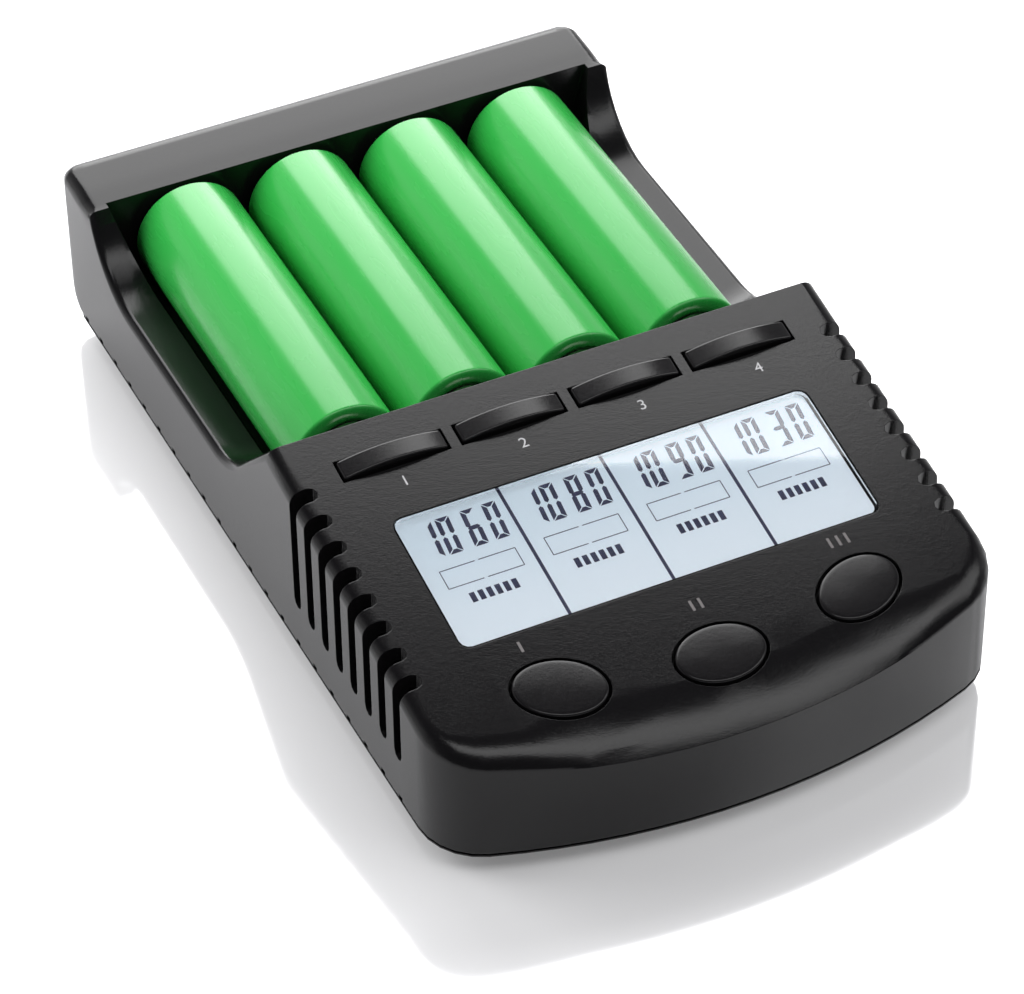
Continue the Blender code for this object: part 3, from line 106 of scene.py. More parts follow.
# Printed marks on the panel
PRINT_RISE = 0.00002
NUMBER_XS = (-0.0228, -0.0076, 0.0079, 0.0234)
NUMBER_SETBACK = 0.0101
NUMBER_SIZE = 0.0021
LABELS = ((-0.0207, 0.0368, 1), (0.0005, 0.0389, 2), (0.0200, 0.0368, 3))
LABEL_STROKE = 0.00034
LABEL_HEIGHT = 0.00150
LABEL_PITCH = 0.00110

# Cells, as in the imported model
CELL_XS = (-0.022995, -0.007665, 0.007665, 0.022995)
CELL_AXIS_Z = 0.0170
CELL_FRONT_Y = 0.0001
CELL_CAN = 0.0490
CELL_RADIUS = 0.0072
CELL_NUB = 0.0010
CELL_NUB_RADIUS = 0.0027
CELL_FRONT_EDGE = 0.00045
CELL_BACK_EDGE = 0.0003
CELL_FOLD_RADIUS = 0.00536
CELL_WASHER_RADIUS = 0.0042
CELL_END_DIP = 0.00025
CELL_FOLD_DIP = 0.00012
CELL_WASHER_DIP = 0.00015
CELL_SEGMENTS = 96
CELL_EDGE_STEPS = 4

# Keys and buttons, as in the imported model
KEY_XS = (-0.02265, -0.00755, 0.00755, 0.02265)
KEY_SETBACK = 0.0060
KEY_HALF_LENGTH = 0.0066
KEY_HALF_WIDTH = 0.00135
KEY_CROWN = 0.0012
KEY_END_RISE = 0.0003
KEY_EDGE = 0.00028
KEY_STEPS = 28
KEY_EDGE_STEPS = 3
KEY_EDGE_ANGLE = math.radians(40)
FLANGE_TOP = -0.0023
FLANGE_BOTTOM = -0.0031
FLANGE_REACH = 0.0006
BUTTONS = {
    "left": (-0.01903, -0.04970, -0.367),
    "middle": (0.0, -0.05207, 0.0),
    "right": (0.01903, -0.04970, 0.367),
}
BUTTON_HALF_LENGTH = 0.0055
BUTTON_HALF_WIDTH = 0.0039
BUTTON_RISE = 0.0003
BUTTON_EDGE = 0.0003
BUTTON_SIDE_TOP = -0.0001
BUTTON_SEGMENTS = 96
BUTTON_EDGE_STEPS = 4
BUTTON_DOME_STEPS = 12

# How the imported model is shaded
CREASE = math.radians(34)
FLAT_FACE_WEIGHT = 80
WELD_DISTANCE = 1e-6

# Moulded plastics: colour, roughness, grain's strength and scale, edge radius, refractive index
PLASTICS = {
    "shell_black": ((0.0042, 0.0039, 0.0043), 0.19, 0.42, 5200.0, 0.00010, 1.39),
    "base_black": ((0.0046, 0.0042, 0.0046), 0.20, 0.3, 5200.0, 0.00003, 1.40),
    "inner_black": ((0.010, 0.010, 0.011), 0.5, 0.3, 3000.0, 0.0001, 1.5),
    "foot_rubber_grey": ((0.018, 0.018, 0.018), 0.7, 0.6, 2600.0, 0.0003, 1.5),
    "board_green": ((0.010, 0.060, 0.025), 0.4, 0.3, 1500.0, 0.0001, 1.5),
    "display_cell_grey": ((0.20, 0.22, 0.24), 0.2, 0.1, 2000.0, 0.0001, 1.5),
    "diffuser_white": ((0.75, 0.78, 0.80), 0.4, 0.1, 2000.0, 0.0001, 1.5),
    "ferrite_grey": ((0.035, 0.035, 0.037), 0.55, 0.6, 1800.0, 0.0002, 1.5),
    "cell_washer": ((0.55, 0.55, 0.53), 0.5, 0.3, 2600.0, 0.0001, 1.5),
    "key_black": ((0.0050, 0.0046, 0.0050), 0.20, 0.20, 6500.0, 0.00012, 1.42),
    "button_black": ((0.0046, 0.0041, 0.0046), 0.22, 0.30, 5200.0, 0.00012, 1.40),
}

# Metals: colour, roughness and stretch, where under one draws the grain out along that axis
METALS = {
    "contact_nickel": ((0.62, 0.60, 0.57), 0.22, (1.0, 0.08, 1.0)),
    "screw_zinc": ((0.40, 0.40, 0.42), 0.35, (1.0, 1.0, 1.0)),
    "capacitor_aluminium": ((0.75, 0.75, 0.77), 0.25, (1.0, 1.0, 1.0)),
    "cell_steel": ((0.50, 0.49, 0.47), 0.30, (1.0, 1.0, 1.0)),
}

# Print and display marks
INKS = {
    "display_navy": (0.020, 0.022, 0.070),
    "print_grey": (0.48, 0.48, 0.49),
    "print_dim": (0.13, 0.12, 0.12),
}
INK_ROUGHNESS = 0.5

# Sleeve, window and film
SLEEVE_GREENS = ((0.026, 0.37, 0.055), (0.033, 0.41, 0.066))
SLEEVE_COAT = 0.15
SLEEVE_COAT_ROUGHNESS = 0.06
SLEEVE_ROUGHNESS = (0.24, 0.30)
WINDOW_TINT = (0.97, 0.98, 1.0)
WINDOW_INDEX = 1.47
WINDOW_ROUGHNESS = (0.0, 0.03)
FILM_FRONT_TINT = (0.53, 0.585, 0.625)
FILM_BACK_TINT = (0.43, 0.505, 0.555)
FILM_ROUGHNESS = (0.45, 0.55)
FILM_GLOW = 0.70

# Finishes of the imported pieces, by the starts of their names
PLASTIC_PIECES = {
    "shell_black": ("top_housing",),
    "base_black": ("base_cover",),
    "inner_black": ("slot_plunger", "left_plunger", "middle_plunger", "right_plunger", "slot_switch",
                    "left_switch", "middle_switch", "right_switch", "dc_jack"),
    "foot_rubber_grey": ("foot",),
    "board_green": ("display_board", "power_board"),
    "display_cell_grey": ("lcd_panel",),
    "diffuser_white": ("backlight",),
    "ferrite_grey": ("inductor",),
}
METAL_PIECES = {
    "screw_zinc": ("screw",),
    "capacitor_aluminium": ("capacitor",),
}

# Places of the finishes in a cell's mesh
SLEEVE, STEEL, WASHER = 0, 1, 2

# Middle part of a noise's values, and the samples that round an edge
NOISE_MIDDLE = (0.3, 0.7)
EDGE_SAMPLES = 6

# Grain and clouds of the plastics
PLASTIC_CLOUDS = 90.0
PLASTIC_LIGHTER = 1.35
PLASTIC_ROUGHER = (-0.04, 0.05)
FINE_GRAIN_DEPTH = 0.00003
COARSE_GRAIN_SIZE = 3.3
COARSE_GRAIN_SHARE = 0.25
COARSE_GRAIN_DEPTH = 0.00006

# Grain and clouds of the metals
METAL_CLOUDS = 260.0
METAL_DARKER = 0.78
METAL_ROUGHER = (0.8, 1.25)
METAL_GRAIN_SCALE = 2600.0
METAL_GRAIN = 0.25
METAL_GRAIN_DEPTH = 0.00001
METAL_EDGE = 0.00012

# Light
SOFTBOX_EDGE_PLACE = (0.1336, 0.1199, 0.3524)
SOFTBOX_ALONG = (0.880, -0.4085, -0.239)
SOFTBOX_DOWN = (0.199, 0.777, -0.597)
SOFTBOX_REACH = (-0.28, 0.07)
SOFTBOX_DEPTH = 0.50
SOFTBOX_RADIANCE = 4.2
FILL_LEFT_PLACE = (-0.32, 0.24, 0.26)
FILL_LEFT_AIM = (-0.08, 0.02, 0.0)
FILL_LEFT_SIZE = 0.3
FILL_LEFT_POWER = 1.4
FILL_RIGHT_PLACE = (0.60, -0.27, 0.58)
FILL_RIGHT_SIZE = 0.45
FILL_RIGHT_POWER = 1.5
STRIP_PLACE = (0.15, -0.40, 0.62)
STRIP_ALONG = (0.88, -0.47, 0.0)
STRIP_LENGTH = 0.85
STRIP_WIDTH = 0.24
STRIP_POWER = 2.0
PALE_BELOW = (0.10, 0.80)
PALE_BEHIND = (-0.45, 0.35)
STUDIO_PALE = (0.80, 0.80, 0.81)
STUDIO_DIM = (0.10, 0.10, 0.11)
STUDIO_OVERHEAD = (0.08, 0.08, 0.09)
FLOOR_WHITE = (0.88, 0.88, 0.89)
FLOOR_MIRROR = 0.22
FLOOR_ROUGHNESS = (0.06, 0.10)
FLOOR_HALF_SIZE = 6.0
FLOOR_LIFT = 0.18


# Materials

def new_material(name):
    material = bpy.data.materials.new(name)
    material.use_nodes = True
    tree = material.node_tree
    return material, tree, tree.nodes["Principled BSDF"]


def link(tree, start, end):
    tree.links.new(start, end)


def object_place(tree):
    return tree.nodes.new("ShaderNodeTexCoord").outputs["Object"]


def noise(tree, scale, detail=2.0, stretch=None):
    texture = tree.nodes.new("ShaderNodeTexNoise")
    texture.inputs["Scale"].default_value = scale
    texture.inputs["Detail"].default_value = detail
    source = object_place(tree)
    if stretch is not None:
        mapping = tree.nodes.new("ShaderNodeMapping")
        mapping.inputs["Scale"].default_value = stretch
        link(tree, source, mapping.inputs["Vector"])
        source = mapping.outputs["Vector"]
    link(tree, source, texture.inputs["Vector"])
    return texture.outputs["Fac"]


def between(tree, factor, low, high):
    """A value that runs from low to high as the factor runs over the middle of a noise."""
    span = tree.nodes.new("ShaderNodeMapRange")
    span.inputs["From Min"].default_value = NOISE_MIDDLE[0]
    span.inputs["From Max"].default_value = NOISE_MIDDLE[1]
    span.inputs["To Min"].default_value = low
    span.inputs["To Max"].default_value = high
    link(tree, factor, span.inputs["Value"])
    return span.outputs["Result"]


def blend_colors(tree, factor, first, second):
    mix = tree.nodes.new("ShaderNodeMix")
    mix.data_type = "RGBA"
    link(tree, factor, mix.inputs["Factor"])
    mix.inputs[6].default_value = (*first, 1.0)
    mix.inputs[7].default_value = (*second, 1.0)
    return mix.outputs[2]


def bump(tree, height, strength, distance, normal=None):
    node = tree.nodes.new("ShaderNodeBump")
    node.inputs["Strength"].default_value = strength
    node.inputs["Distance"].default_value = distance
    link(tree, height, node.inputs["Height"])
    if normal is not None:
        link(tree, normal, node.inputs["Normal"])
    return node.outputs["Normal"]


def rounded_edges(tree, radius):
    node = tree.nodes.new("ShaderNodeBevel")
    node.samples = EDGE_SAMPLES
    node.inputs["Radius"].default_value = radius
    return node.outputs["Normal"]


def moulded_plastic(name):
    """Moulded plastic with a fine spark-eroded grain and softened edges."""
    color, roughness, grain, grain_scale, edge, index = PLASTICS[name]
    material, tree, shader = new_material(name)
    shader.inputs["IOR"].default_value = index
    cloud = noise(tree, PLASTIC_CLOUDS, 3.0)
    lighter = tuple(min(c * PLASTIC_LIGHTER, 1.0) for c in color)
    link(tree, blend_colors(tree, cloud, color, lighter), shader.inputs["Base Color"])
    fine = noise(tree, grain_scale, 2.0)
    smoother, rougher = PLASTIC_ROUGHER
    rough = between(tree, fine, roughness + smoother, roughness + rougher)
    link(tree, rough, shader.inputs["Roughness"])
    coarse = noise(tree, grain_scale / COARSE_GRAIN_SIZE, 1.0)
    soft = rounded_edges(tree, edge)
    first = bump(tree, coarse, grain * COARSE_GRAIN_SHARE, COARSE_GRAIN_DEPTH, soft)
    link(tree, bump(tree, fine, grain, FINE_GRAIN_DEPTH, first), shader.inputs["Normal"])
    return material


def metal(name):
    """Plain metal with a fine grain and softened edges."""
    color, roughness, stretch = METALS[name]
    material, tree, shader = new_material(name)
    shader.inputs["Metallic"].default_value = 1.0
    cloud = noise(tree, METAL_CLOUDS, 3.0)
    darker = tuple(c * METAL_DARKER for c in color)
    link(tree, blend_colors(tree, cloud, darker, color), shader.inputs["Base Color"])
    grain = noise(tree, METAL_GRAIN_SCALE, 2.0, stretch)
    smoother, rougher = METAL_ROUGHER
    rough = between(tree, grain, roughness * smoother, roughness * rougher)
    link(tree, rough, shader.inputs["Roughness"])
    soft = rounded_edges(tree, METAL_EDGE)
    link(tree, bump(tree, grain, METAL_GRAIN, METAL_GRAIN_DEPTH, soft), shader.inputs["Normal"])
    return material


def wrapper(name):
    """The green sleeve of a cell: glossy film with faint ripples from shrinking."""
    material, tree, shader = new_material(name)
    cloud = noise(tree, 60.0, 2.0)
    link(tree, blend_colors(tree, cloud, *SLEEVE_GREENS), shader.inputs["Base Color"])
    shader.inputs["Coat Weight"].default_value = SLEEVE_COAT
    shader.inputs["Coat Roughness"].default_value = SLEEVE_COAT_ROUGHNESS
    ripple = noise(tree, 700.0, 2.0, (1.0, 0.15, 1.0))
    link(tree, between(tree, ripple, *SLEEVE_ROUGHNESS), shader.inputs["Roughness"])
    link(tree, bump(tree, ripple, 0.10, 0.00002), shader.inputs["Normal"])
    return material


def clear_window():
    """Clear moulded plastic over the display."""
    material, tree, shader = new_material("window_clear")
    shader.inputs["Base Color"].default_value = (*WINDOW_TINT, 1.0)
    shader.inputs["Transmission Weight"].default_value = 1.0
    shader.inputs["IOR"].default_value = WINDOW_INDEX
    smear = noise(tree, 45.0, 2.0)
    link(tree, between(tree, smear, *WINDOW_ROUGHNESS), shader.inputs["Roughness"])
    return material


def lit_film():
    """The pale face of the display, lit from behind, a little darker and bluer at its back edge."""
    material, tree, shader = new_material("display_pale")
    split = tree.nodes.new("ShaderNodeSeparateXYZ")
    link(tree, object_place(tree), split.inputs["Vector"])
    depth = tree.nodes.new("ShaderNodeMapRange")
    depth.inputs["From Min"].default_value = PANEL_BACK_Y + FILM_FRONT
    depth.inputs["From Max"].default_value = PANEL_BACK_Y + FILM_BACK
    depth.interpolation_type = "SMOOTHSTEP"
    link(tree, split.outputs["Y"], depth.inputs["Value"])
    tint = blend_colors(tree, depth.outputs["Result"], FILM_FRONT_TINT, FILM_BACK_TINT)
    link(tree, tint, shader.inputs["Base Color"])
    link(tree, tint, shader.inputs["Emission Color"])
    shader.inputs["Emission Strength"].default_value = FILM_GLOW
    grain = noise(tree, 5000.0, 1.0)
    link(tree, between(tree, grain, *FILM_ROUGHNESS), shader.inputs["Roughness"])
    return material


def ink(name):
    """Print and display marks, with a faint grain."""
    color = INKS[name]
    material, tree, shader = new_material(name)
    grain = noise(tree, 3000.0, 2.0)
    lighter = tuple(min(c * 1.3, 1.0) for c in color)
    link(tree, blend_colors(tree, grain, color, lighter), shader.inputs["Base Color"])
    rough = between(tree, grain, INK_ROUGHNESS - 0.05, INK_ROUGHNESS + 0.05)
    link(tree, rough, shader.inputs["Roughness"])
    return material


# Pieces

def panel_place(x, along, rise=0.0):
    """A point over the panel: along is the distance up its slope from its back edge."""
    y = PANEL_BACK_Y + along * math.cos(PANEL_TILT) - rise * math.sin(PANEL_TILT)
    z = PANEL_BACK_Z + along * math.sin(PANEL_TILT) + rise * math.cos(PANEL_TILT)
    return Vector((x, y, z))


def put_plate(bm, outline, low, high):
    """A thin plate over the panel, from points (x, along) and two heights over the face."""
    bottom = [bm.verts.new(panel_place(x, along, low)) for x, along in outline]
    top = [bm.verts.new(panel_place(x, along, high)) for x, along in outline]
    bm.faces.new(list(reversed(bottom)))
    bm.faces.new(top)
    count = len(outline)
    for i in range(count):
        j = (i + 1) % count
        bm.faces.new((bottom[i], bottom[j], top[j], top[i]))


def add_piece(name, bm, material, body="charger"):
    bmesh.ops.recalc_face_normals(bm, faces=bm.faces)
    mesh = bpy.data.meshes.new(name)
    bm.to_mesh(mesh)
    bm.free()
    mesh.materials.append(material)
    obj = bpy.data.objects.new(name, mesh)
    bpy.context.scene.collection.objects.link(obj)
    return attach(obj, body)


def round_rectangle(left, right, front, back, radius, steps=5):
    points = []
    corners = ((right, back, 0), (left, back, 90), (left, front, 180), (right, front, 270))
    for x, along, start in corners:
        cx = x - radius if x == right else x + radius
        cy = along - radius if along == back else along + radius
        for i in range(steps + 1):
            angle = math.radians(start + 90 * i / steps)
            points.append((cx + radius * math.cos(angle), cy + radius * math.sin(angle)))
    return points


def stroke(bm, start, end, width, low, high):
    """A straight line of a given width on the panel."""
    a, b = Vector(start), Vector(end)
    across = (b - a).normalized().orthogonal() * width / 2
    put_plate(bm, [a - across, b - across, b + across, a + across], low, high)


def segment_outline(letter, width, height, stroke_width):
    """One segment of a seven-segment digit, with pointed ends, from its lower left corner."""
    half, t = height / 2, stroke_width
    gap = t * SEGMENT_GAP
    if letter in "agd":
        y = {"a": height, "g": half + t / 2, "d": t}[letter]
        if letter == "g":
            return [(gap, half), (t / 2 + gap, y), (width - t / 2 - gap, y), (width - gap, half),
                    (width - t / 2 - gap, y - t), (t / 2 + gap, y - t)]
        if letter == "a":
            return [(gap, height), (width - gap, height), (width - t - gap, height - t),
                    (t + gap, height - t)]
        return [(gap, 0.0), (t + gap, t), (width - t - gap, t), (width - gap, 0.0)]
    low = 0.0 if letter in "ec" else half
    x = 0.0 if letter in "fe" else width
    inner = x + t if letter in "fe" else x - t
    middle = (x + inner) / 2
    if letter in "fb":
        return [(x, low + t / 2 + gap), (x, low + half - gap), (inner, low + half - t - gap),
                (inner, low + t / 2 + gap), (middle, low + gap)]
    return [(x, low + gap), (x, low + half - t / 2 - gap), (middle, low + half - gap),
            (inner, low + half - t / 2 - gap), (inner, low + t + gap)]


def put_digit(bm, digit, left, bottom, low, high):
    """A leaning digit of plates over the display's face."""
    width = 0.0 if digit == "1" else DIGIT_WIDTH
    for letter in SEGMENTS[digit]:
        outline = segment_outline(letter, width, DIGIT_HEIGHT, DIGIT_STROKE)
        leaning = [(left + x + DIGIT_LEAN * y, bottom + y) for x, y in outline]
        put_plate(bm, leaning, low, high)


def display_face():
    """The pale film under the window."""
    bm = bmesh.new()
    outline = round_rectangle(-FILM_HALF_WIDTH, FILM_HALF_WIDTH, FILM_FRONT, FILM_BACK, FILM_CORNER)
    put_plate(bm, outline, -FILM_DROP - FILM_THICKNESS, -FILM_DROP)
    add_piece("display_face", bm, lit_film())


def display_marks():
    """Four fields between three dividers, each with a plain reading, a frame and a level bar."""
    low, high = -FILM_DROP + MARK_FOOT, -FILM_DROP + MARK_RISE
    bm = bmesh.new()
    for i in range(len(READINGS) - 1):
        x = FIELD_FIRST_X + FIELD_PITCH * (i + 0.5)
        stroke(bm, (x, FILM_FRONT), (x, FILM_BACK), DIVIDER_WIDTH, low, high)
    for i, reading in enumerate(READINGS):
        centre = FIELD_FIRST_X + FIELD_PITCH * i
        for digit, x in zip(reading, DIGIT_XS):
            put_digit(bm, digit, centre + x, DIGIT_TOP - DIGIT_HEIGHT, low, high)
        put_frame(bm, centre, low, high)
        for k in range(BAR_COUNT):
            left = centre + BAR_LEFT + BAR_PITCH * k
            put_plate(bm, [(left, BAR_TOP - BAR_HEIGHT), (left + BAR_WIDTH, BAR_TOP - BAR_HEIGHT),
                           (left + BAR_WIDTH, BAR_TOP), (left, BAR_TOP)], low, high)
    add_piece("display_marks", bm, ink("display_navy"))


def put_frame(bm, centre, low, high):
    """A thin rectangle that is open for a little in the middle of its long sides."""
    left, right = centre + FRAME_LEFT, centre + FRAME_RIGHT
    for along in (FRAME_TOP, FRAME_BOTTOM):
        gap = centre + FRAME_GAP_X
        stroke(bm, (left, along), (gap - FRAME_GAP / 2, along), FRAME_LINE, low, high)
        stroke(bm, (gap + FRAME_GAP / 2, along), (right, along), FRAME_LINE, low, high)
    for x in (left, right):
        stroke(bm, (x, FRAME_BOTTOM), (x, FRAME_TOP), FRAME_LINE, low, high)


def printed_numbers(material):
    """The plain numbers of the bays, in front of their keys."""
    for i, x in enumerate(NUMBER_XS):
        curve = bpy.data.curves.new(f"bay_number_{i + 1}", "FONT")
        curve.body = str(i + 1)
        curve.size = NUMBER_SIZE
        curve.align_x = "CENTER"
        curve.align_y = "CENTER"
        curve.extrude = PRINT_RISE / 2
        text = bpy.data.objects.new(curve.name, curve)
        bpy.context.scene.collection.objects.link(text)
        bpy.context.view_layer.update()
        mesh = bpy.data.meshes.new_from_object(text)
        bpy.data.objects.remove(text)
        place = Matrix.Translation(panel_place(x, -NUMBER_SETBACK, PRINT_RISE))
        mesh.transform(place @ Matrix.Rotation(PANEL_TILT, 4, "X"))
        mesh.materials.clear()
        mesh.materials.append(material)
        obj = bpy.data.objects.new(f"bay_number_{i + 1}", mesh)
        bpy.context.scene.collection.objects.link(obj)
        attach(obj, "charger")


def printed_labels(material):
    """Plain strokes behind the oval buttons: one, two and three."""
    bm = bmesh.new()
    for x, setback, count in LABELS:
        for k in range(count):
            at = x + LABEL_PITCH * (k - (count - 1) / 2)
            stroke(bm, (at, -setback - LABEL_HEIGHT / 2), (at, -setback + LABEL_HEIGHT / 2),
                   LABEL_STROKE, 0.0, PRINT_RISE)
    add_piece("button_marks", bm, material)


# Cells, keys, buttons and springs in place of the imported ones

def cell_profile():
    """Places along the axis, radii and finishes, from the front end's middle to the tip."""
    front, back, radius = CELL_FRONT_EDGE, CELL_BACK_EDGE, CELL_RADIUS
    fold, washer, nub = CELL_FOLD_RADIUS, CELL_WASHER_RADIUS, CELL_NUB_RADIUS
    tip = CELL_CAN + CELL_NUB
    points = [(CELL_END_DIP, 0.0, STEEL), (CELL_END_DIP, fold - 0.0004, STEEL),
              (CELL_FOLD_DIP, fold - 0.0001, SLEEVE), (0.0, fold, SLEEVE)]
    angles = [math.pi / 2 * i / CELL_EDGE_STEPS for i in range(CELL_EDGE_STEPS + 1)]
    for angle in angles:
        points.append((front * (1 - math.cos(angle)), radius - front * (1 - math.sin(angle)), SLEEVE))
    for angle in angles:
        along = CELL_CAN - back * (1 - math.sin(angle))
        points.append((along, radius - back * (1 - math.cos(angle)), SLEEVE))
    floor_place = CELL_CAN - CELL_WASHER_DIP
    points += [(CELL_CAN, washer + 0.0006, SLEEVE), (floor_place, washer + 0.0004, WASHER),
               (floor_place, nub + 0.0005, STEEL), (CELL_CAN, nub + 0.0001, STEEL),
               (tip - 0.0003, nub, STEEL), (tip - 0.00007, nub - 0.0002, STEEL),
               (tip, nub - 0.0006, STEEL), (tip, 0.0, STEEL)]
    return points


def cells(finishes):
    """Turned cells, with their finishes in the order sleeve, steel and washer."""
    for i, x in enumerate(CELL_XS):
        bm = bmesh.new()
        rows = []
        for along, radius, _ in cell_profile():
            ring = []
            count = CELL_SEGMENTS if radius > 0 else 1
            for k in range(count):
                angle = math.tau * k / count
                ring.append(bm.verts.new((x + radius * math.sin(angle), CELL_FRONT_Y + along,
                                          CELL_AXIS_Z + radius * math.cos(angle))))
            rows.append(ring)
        skin_rows(bm, rows, [finish for _, _, finish in cell_profile()])
        cell = add_piece(f"cell_shown_{i + 1}", bm, finishes[0])
        for finish in finishes[1:]:
            cell.data.materials.append(finish)
        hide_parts(f"cell_{i + 1}")


def skin_rows(bm, rows, finishes):
    """Faces between rings, each of which is a circle of points or one point on the axis."""
    for lower, upper, finish in zip(rows, rows[1:], finishes[1:]):
        count = max(len(lower), len(upper))
        for k in range(count):
            j = (k + 1) % count
            corners = [lower[k % len(lower)], lower[j % len(lower)],
                       upper[j % len(upper)], upper[k % len(upper)]]
            face = bm.faces.new(list(dict.fromkeys(corners)))
            face.smooth = True
            face.material_index = finish


def panel_frame(x, y, turn=0.0):
    """A frame on the panel's face: its Z stands out of the face and its Y runs up the slope."""
    z = PANEL_BACK_Z + math.tan(PANEL_TILT) * (y - PANEL_BACK_Y)
    tilt = Matrix.Rotation(PANEL_TILT, 4, "X")
    return Matrix.Translation((x, y, z)) @ tilt @ Matrix.Rotation(turn, 4, "Z")


def keys(material):
    """Arched keys with rounded edges and their flanges under the panel."""
    half, rise = KEY_HALF_LENGTH, KEY_CROWN - KEY_END_RISE
    radius = (half ** 2 + rise ** 2) / (2 * rise)
    half_angle = math.asin(half / radius)
    wide = half + FLANGE_REACH
    outline = [(-wide, FLANGE_BOTTOM), (wide, FLANGE_BOTTOM), (wide, FLANGE_TOP), (half, FLANGE_TOP)]
    for i in range(KEY_STEPS + 1):
        angle = half_angle * (1 - 2 * i / KEY_STEPS)
        outline.append((radius * math.sin(angle), KEY_CROWN - radius * (1 - math.cos(angle))))
    outline += [(-half, FLANGE_TOP), (-wide, FLANGE_TOP)]
    for i, x in enumerate(KEY_XS):
        place = panel_frame(x, PANEL_BACK_Y - KEY_SETBACK)
        bm = bmesh.new()
        sides = [[bm.verts.new(place @ Vector((px, y, pz))) for px, pz in outline]
                 for y in (-KEY_HALF_WIDTH, KEY_HALF_WIDTH)]
        bm.faces.new(sides[0])
        bm.faces.new(sides[1])
        for k in range(len(outline)):
            j = (k + 1) % len(outline)
            bm.faces.new((sides[0][k], sides[0][j], sides[1][j], sides[1][k]))
        key = add_piece(f"slot_key_shown_{i + 1}", bm, material, f"key_{i + 1}")
        key.data.shade_smooth()
        edges = key.modifiers.new("Edges", "BEVEL")
        edges.width = KEY_EDGE
        edges.segments = KEY_EDGE_STEPS
        edges.limit_method = "ANGLE"
        edges.angle_limit = KEY_EDGE_ANGLE
        edges.harden_normals = True
        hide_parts(f"slot_key_{i + 1}")


def button_levels():
    """Shrinking ovals from the flange over a rounded rim to the top of a low dome."""
    levels = [(FLANGE_REACH, FLANGE_BOTTOM), (FLANGE_REACH, FLANGE_TOP), (0.0, FLANGE_TOP),
              (0.0, BUTTON_SIDE_TOP)]
    for i in range(1, BUTTON_EDGE_STEPS + 1):
        angle = math.pi / 2 * i / BUTTON_EDGE_STEPS
        rise = BUTTON_SIDE_TOP + BUTTON_EDGE * math.sin(angle)
        levels.append((-BUTTON_EDGE * (1 - math.cos(angle)), rise))
    rim = levels[-1][1]
    for i in range(1, BUTTON_DOME_STEPS + 1):
        share = i / BUTTON_DOME_STEPS
        inset = BUTTON_EDGE + (BUTTON_HALF_WIDTH - BUTTON_EDGE) * share
        levels.append((-inset, rim + (BUTTON_RISE - rim) * (1 - (1 - share) ** 2)))
    return levels


def buttons(material):
    """Oval buttons with a flange under the panel and a low dome over it."""
    angles = [math.tau * k / BUTTON_SEGMENTS for k in range(BUTTON_SEGMENTS)]
    for name, (x, y, turn) in BUTTONS.items():
        place = panel_frame(x, y, turn)
        bm = bmesh.new()
        rows = []
        for grow, z in button_levels():
            half_x, half_y = BUTTON_HALF_LENGTH + grow, BUTTON_HALF_WIDTH + grow
            rows.append([bm.verts.new(place @ Vector((half_x * math.cos(a), half_y * math.sin(a), z)))
                         for a in angles])
        bm.faces.new(rows[0])
        skin_rows(bm, rows, [0] * len(rows))
        bmesh.ops.remove_doubles(bm, verts=rows[-1], dist=WELD_DISTANCE)
        button = add_piece(f"{name}_button_shown", bm, material, f"{name}_button_body")
        crease = button.modifiers.new("Creases", "EDGE_SPLIT")
        crease.split_angle = CREASE
        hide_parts(f"{name}_button")


def springs(material):
    """Copies of the imported springs, welded and shaded smooth, each with a mesh of its own."""
    for i in range(1, len(CELL_XS) + 1):
        node = NODES[f"slider_spring_{i}"]
        bm = bmesh.new()
        bm.from_mesh(node.data)
        bm.transform(node.matrix_world)
        bmesh.ops.remove_doubles(bm, verts=bm.verts, dist=WELD_DISTANCE)
        spring = add_piece(f"slider_spring_shown_{i}", bm, material)
        spring.data.shade_smooth()
        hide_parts(node.name)
        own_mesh(spring)


# Stage

def placed(x_axis, y_axis, z_axis, place):
    """A matrix from three axes and a place."""
    return Matrix([*zip(x_axis, y_axis, z_axis, place), (0.0, 0.0, 0.0, 1.0)])


def area_light(name, place, size, power, target=(0.0, 0.0, 0.0)):
    """A square lamp that faces a point, hidden from the camera."""
    data = bpy.data.lights.new(name, "AREA")
    data.energy = power
    data.size = size
    obj = bpy.data.objects.new(name, data)
    aim = (Vector(place) - Vector(target)).to_track_quat("Z", "Y").to_matrix().to_4x4()
    obj.matrix_world = Matrix.Translation(place) @ aim
    obj.visible_camera = False
    bpy.context.scene.collection.objects.link(obj)
    return obj


def long_light(name, place, along, away, length, width, power):
    """A lamp with its length along one direction, which shines against another."""
    lamp = area_light(name, place, length, power)
    lamp.data.shape = "RECTANGLE"
    lamp.data.size_y = width
    lamp.matrix_world = placed(along, away.cross(along), away, place)


def softbox():
    """The main light: a box behind the charger, a little to its right, that leans over it."""
    along, down = Vector(SOFTBOX_ALONG).normalized(), Vector(SOFTBOX_DOWN).normalized()
    away = along.cross(down).normalized()
    length = SOFTBOX_REACH[1] - SOFTBOX_REACH[0]
    middle = Vector(SOFTBOX_EDGE_PLACE) + along * sum(SOFTBOX_REACH) / 2 + down * SOFTBOX_DEPTH / 2
    power = SOFTBOX_RADIANCE * math.pi * length * SOFTBOX_DEPTH
    long_light("softbox", middle, along, away, length, SOFTBOX_DEPTH, power)


def front_strip():
    """A long lamp in front that draws the soft line on the front edge."""
    place, along = Vector(STRIP_PLACE), Vector(STRIP_ALONG).normalized()
    away = (place - along * place.dot(along)).normalized()
    long_light("strip_front", place, along, away, STRIP_LENGTH, STRIP_WIDTH, STRIP_POWER)


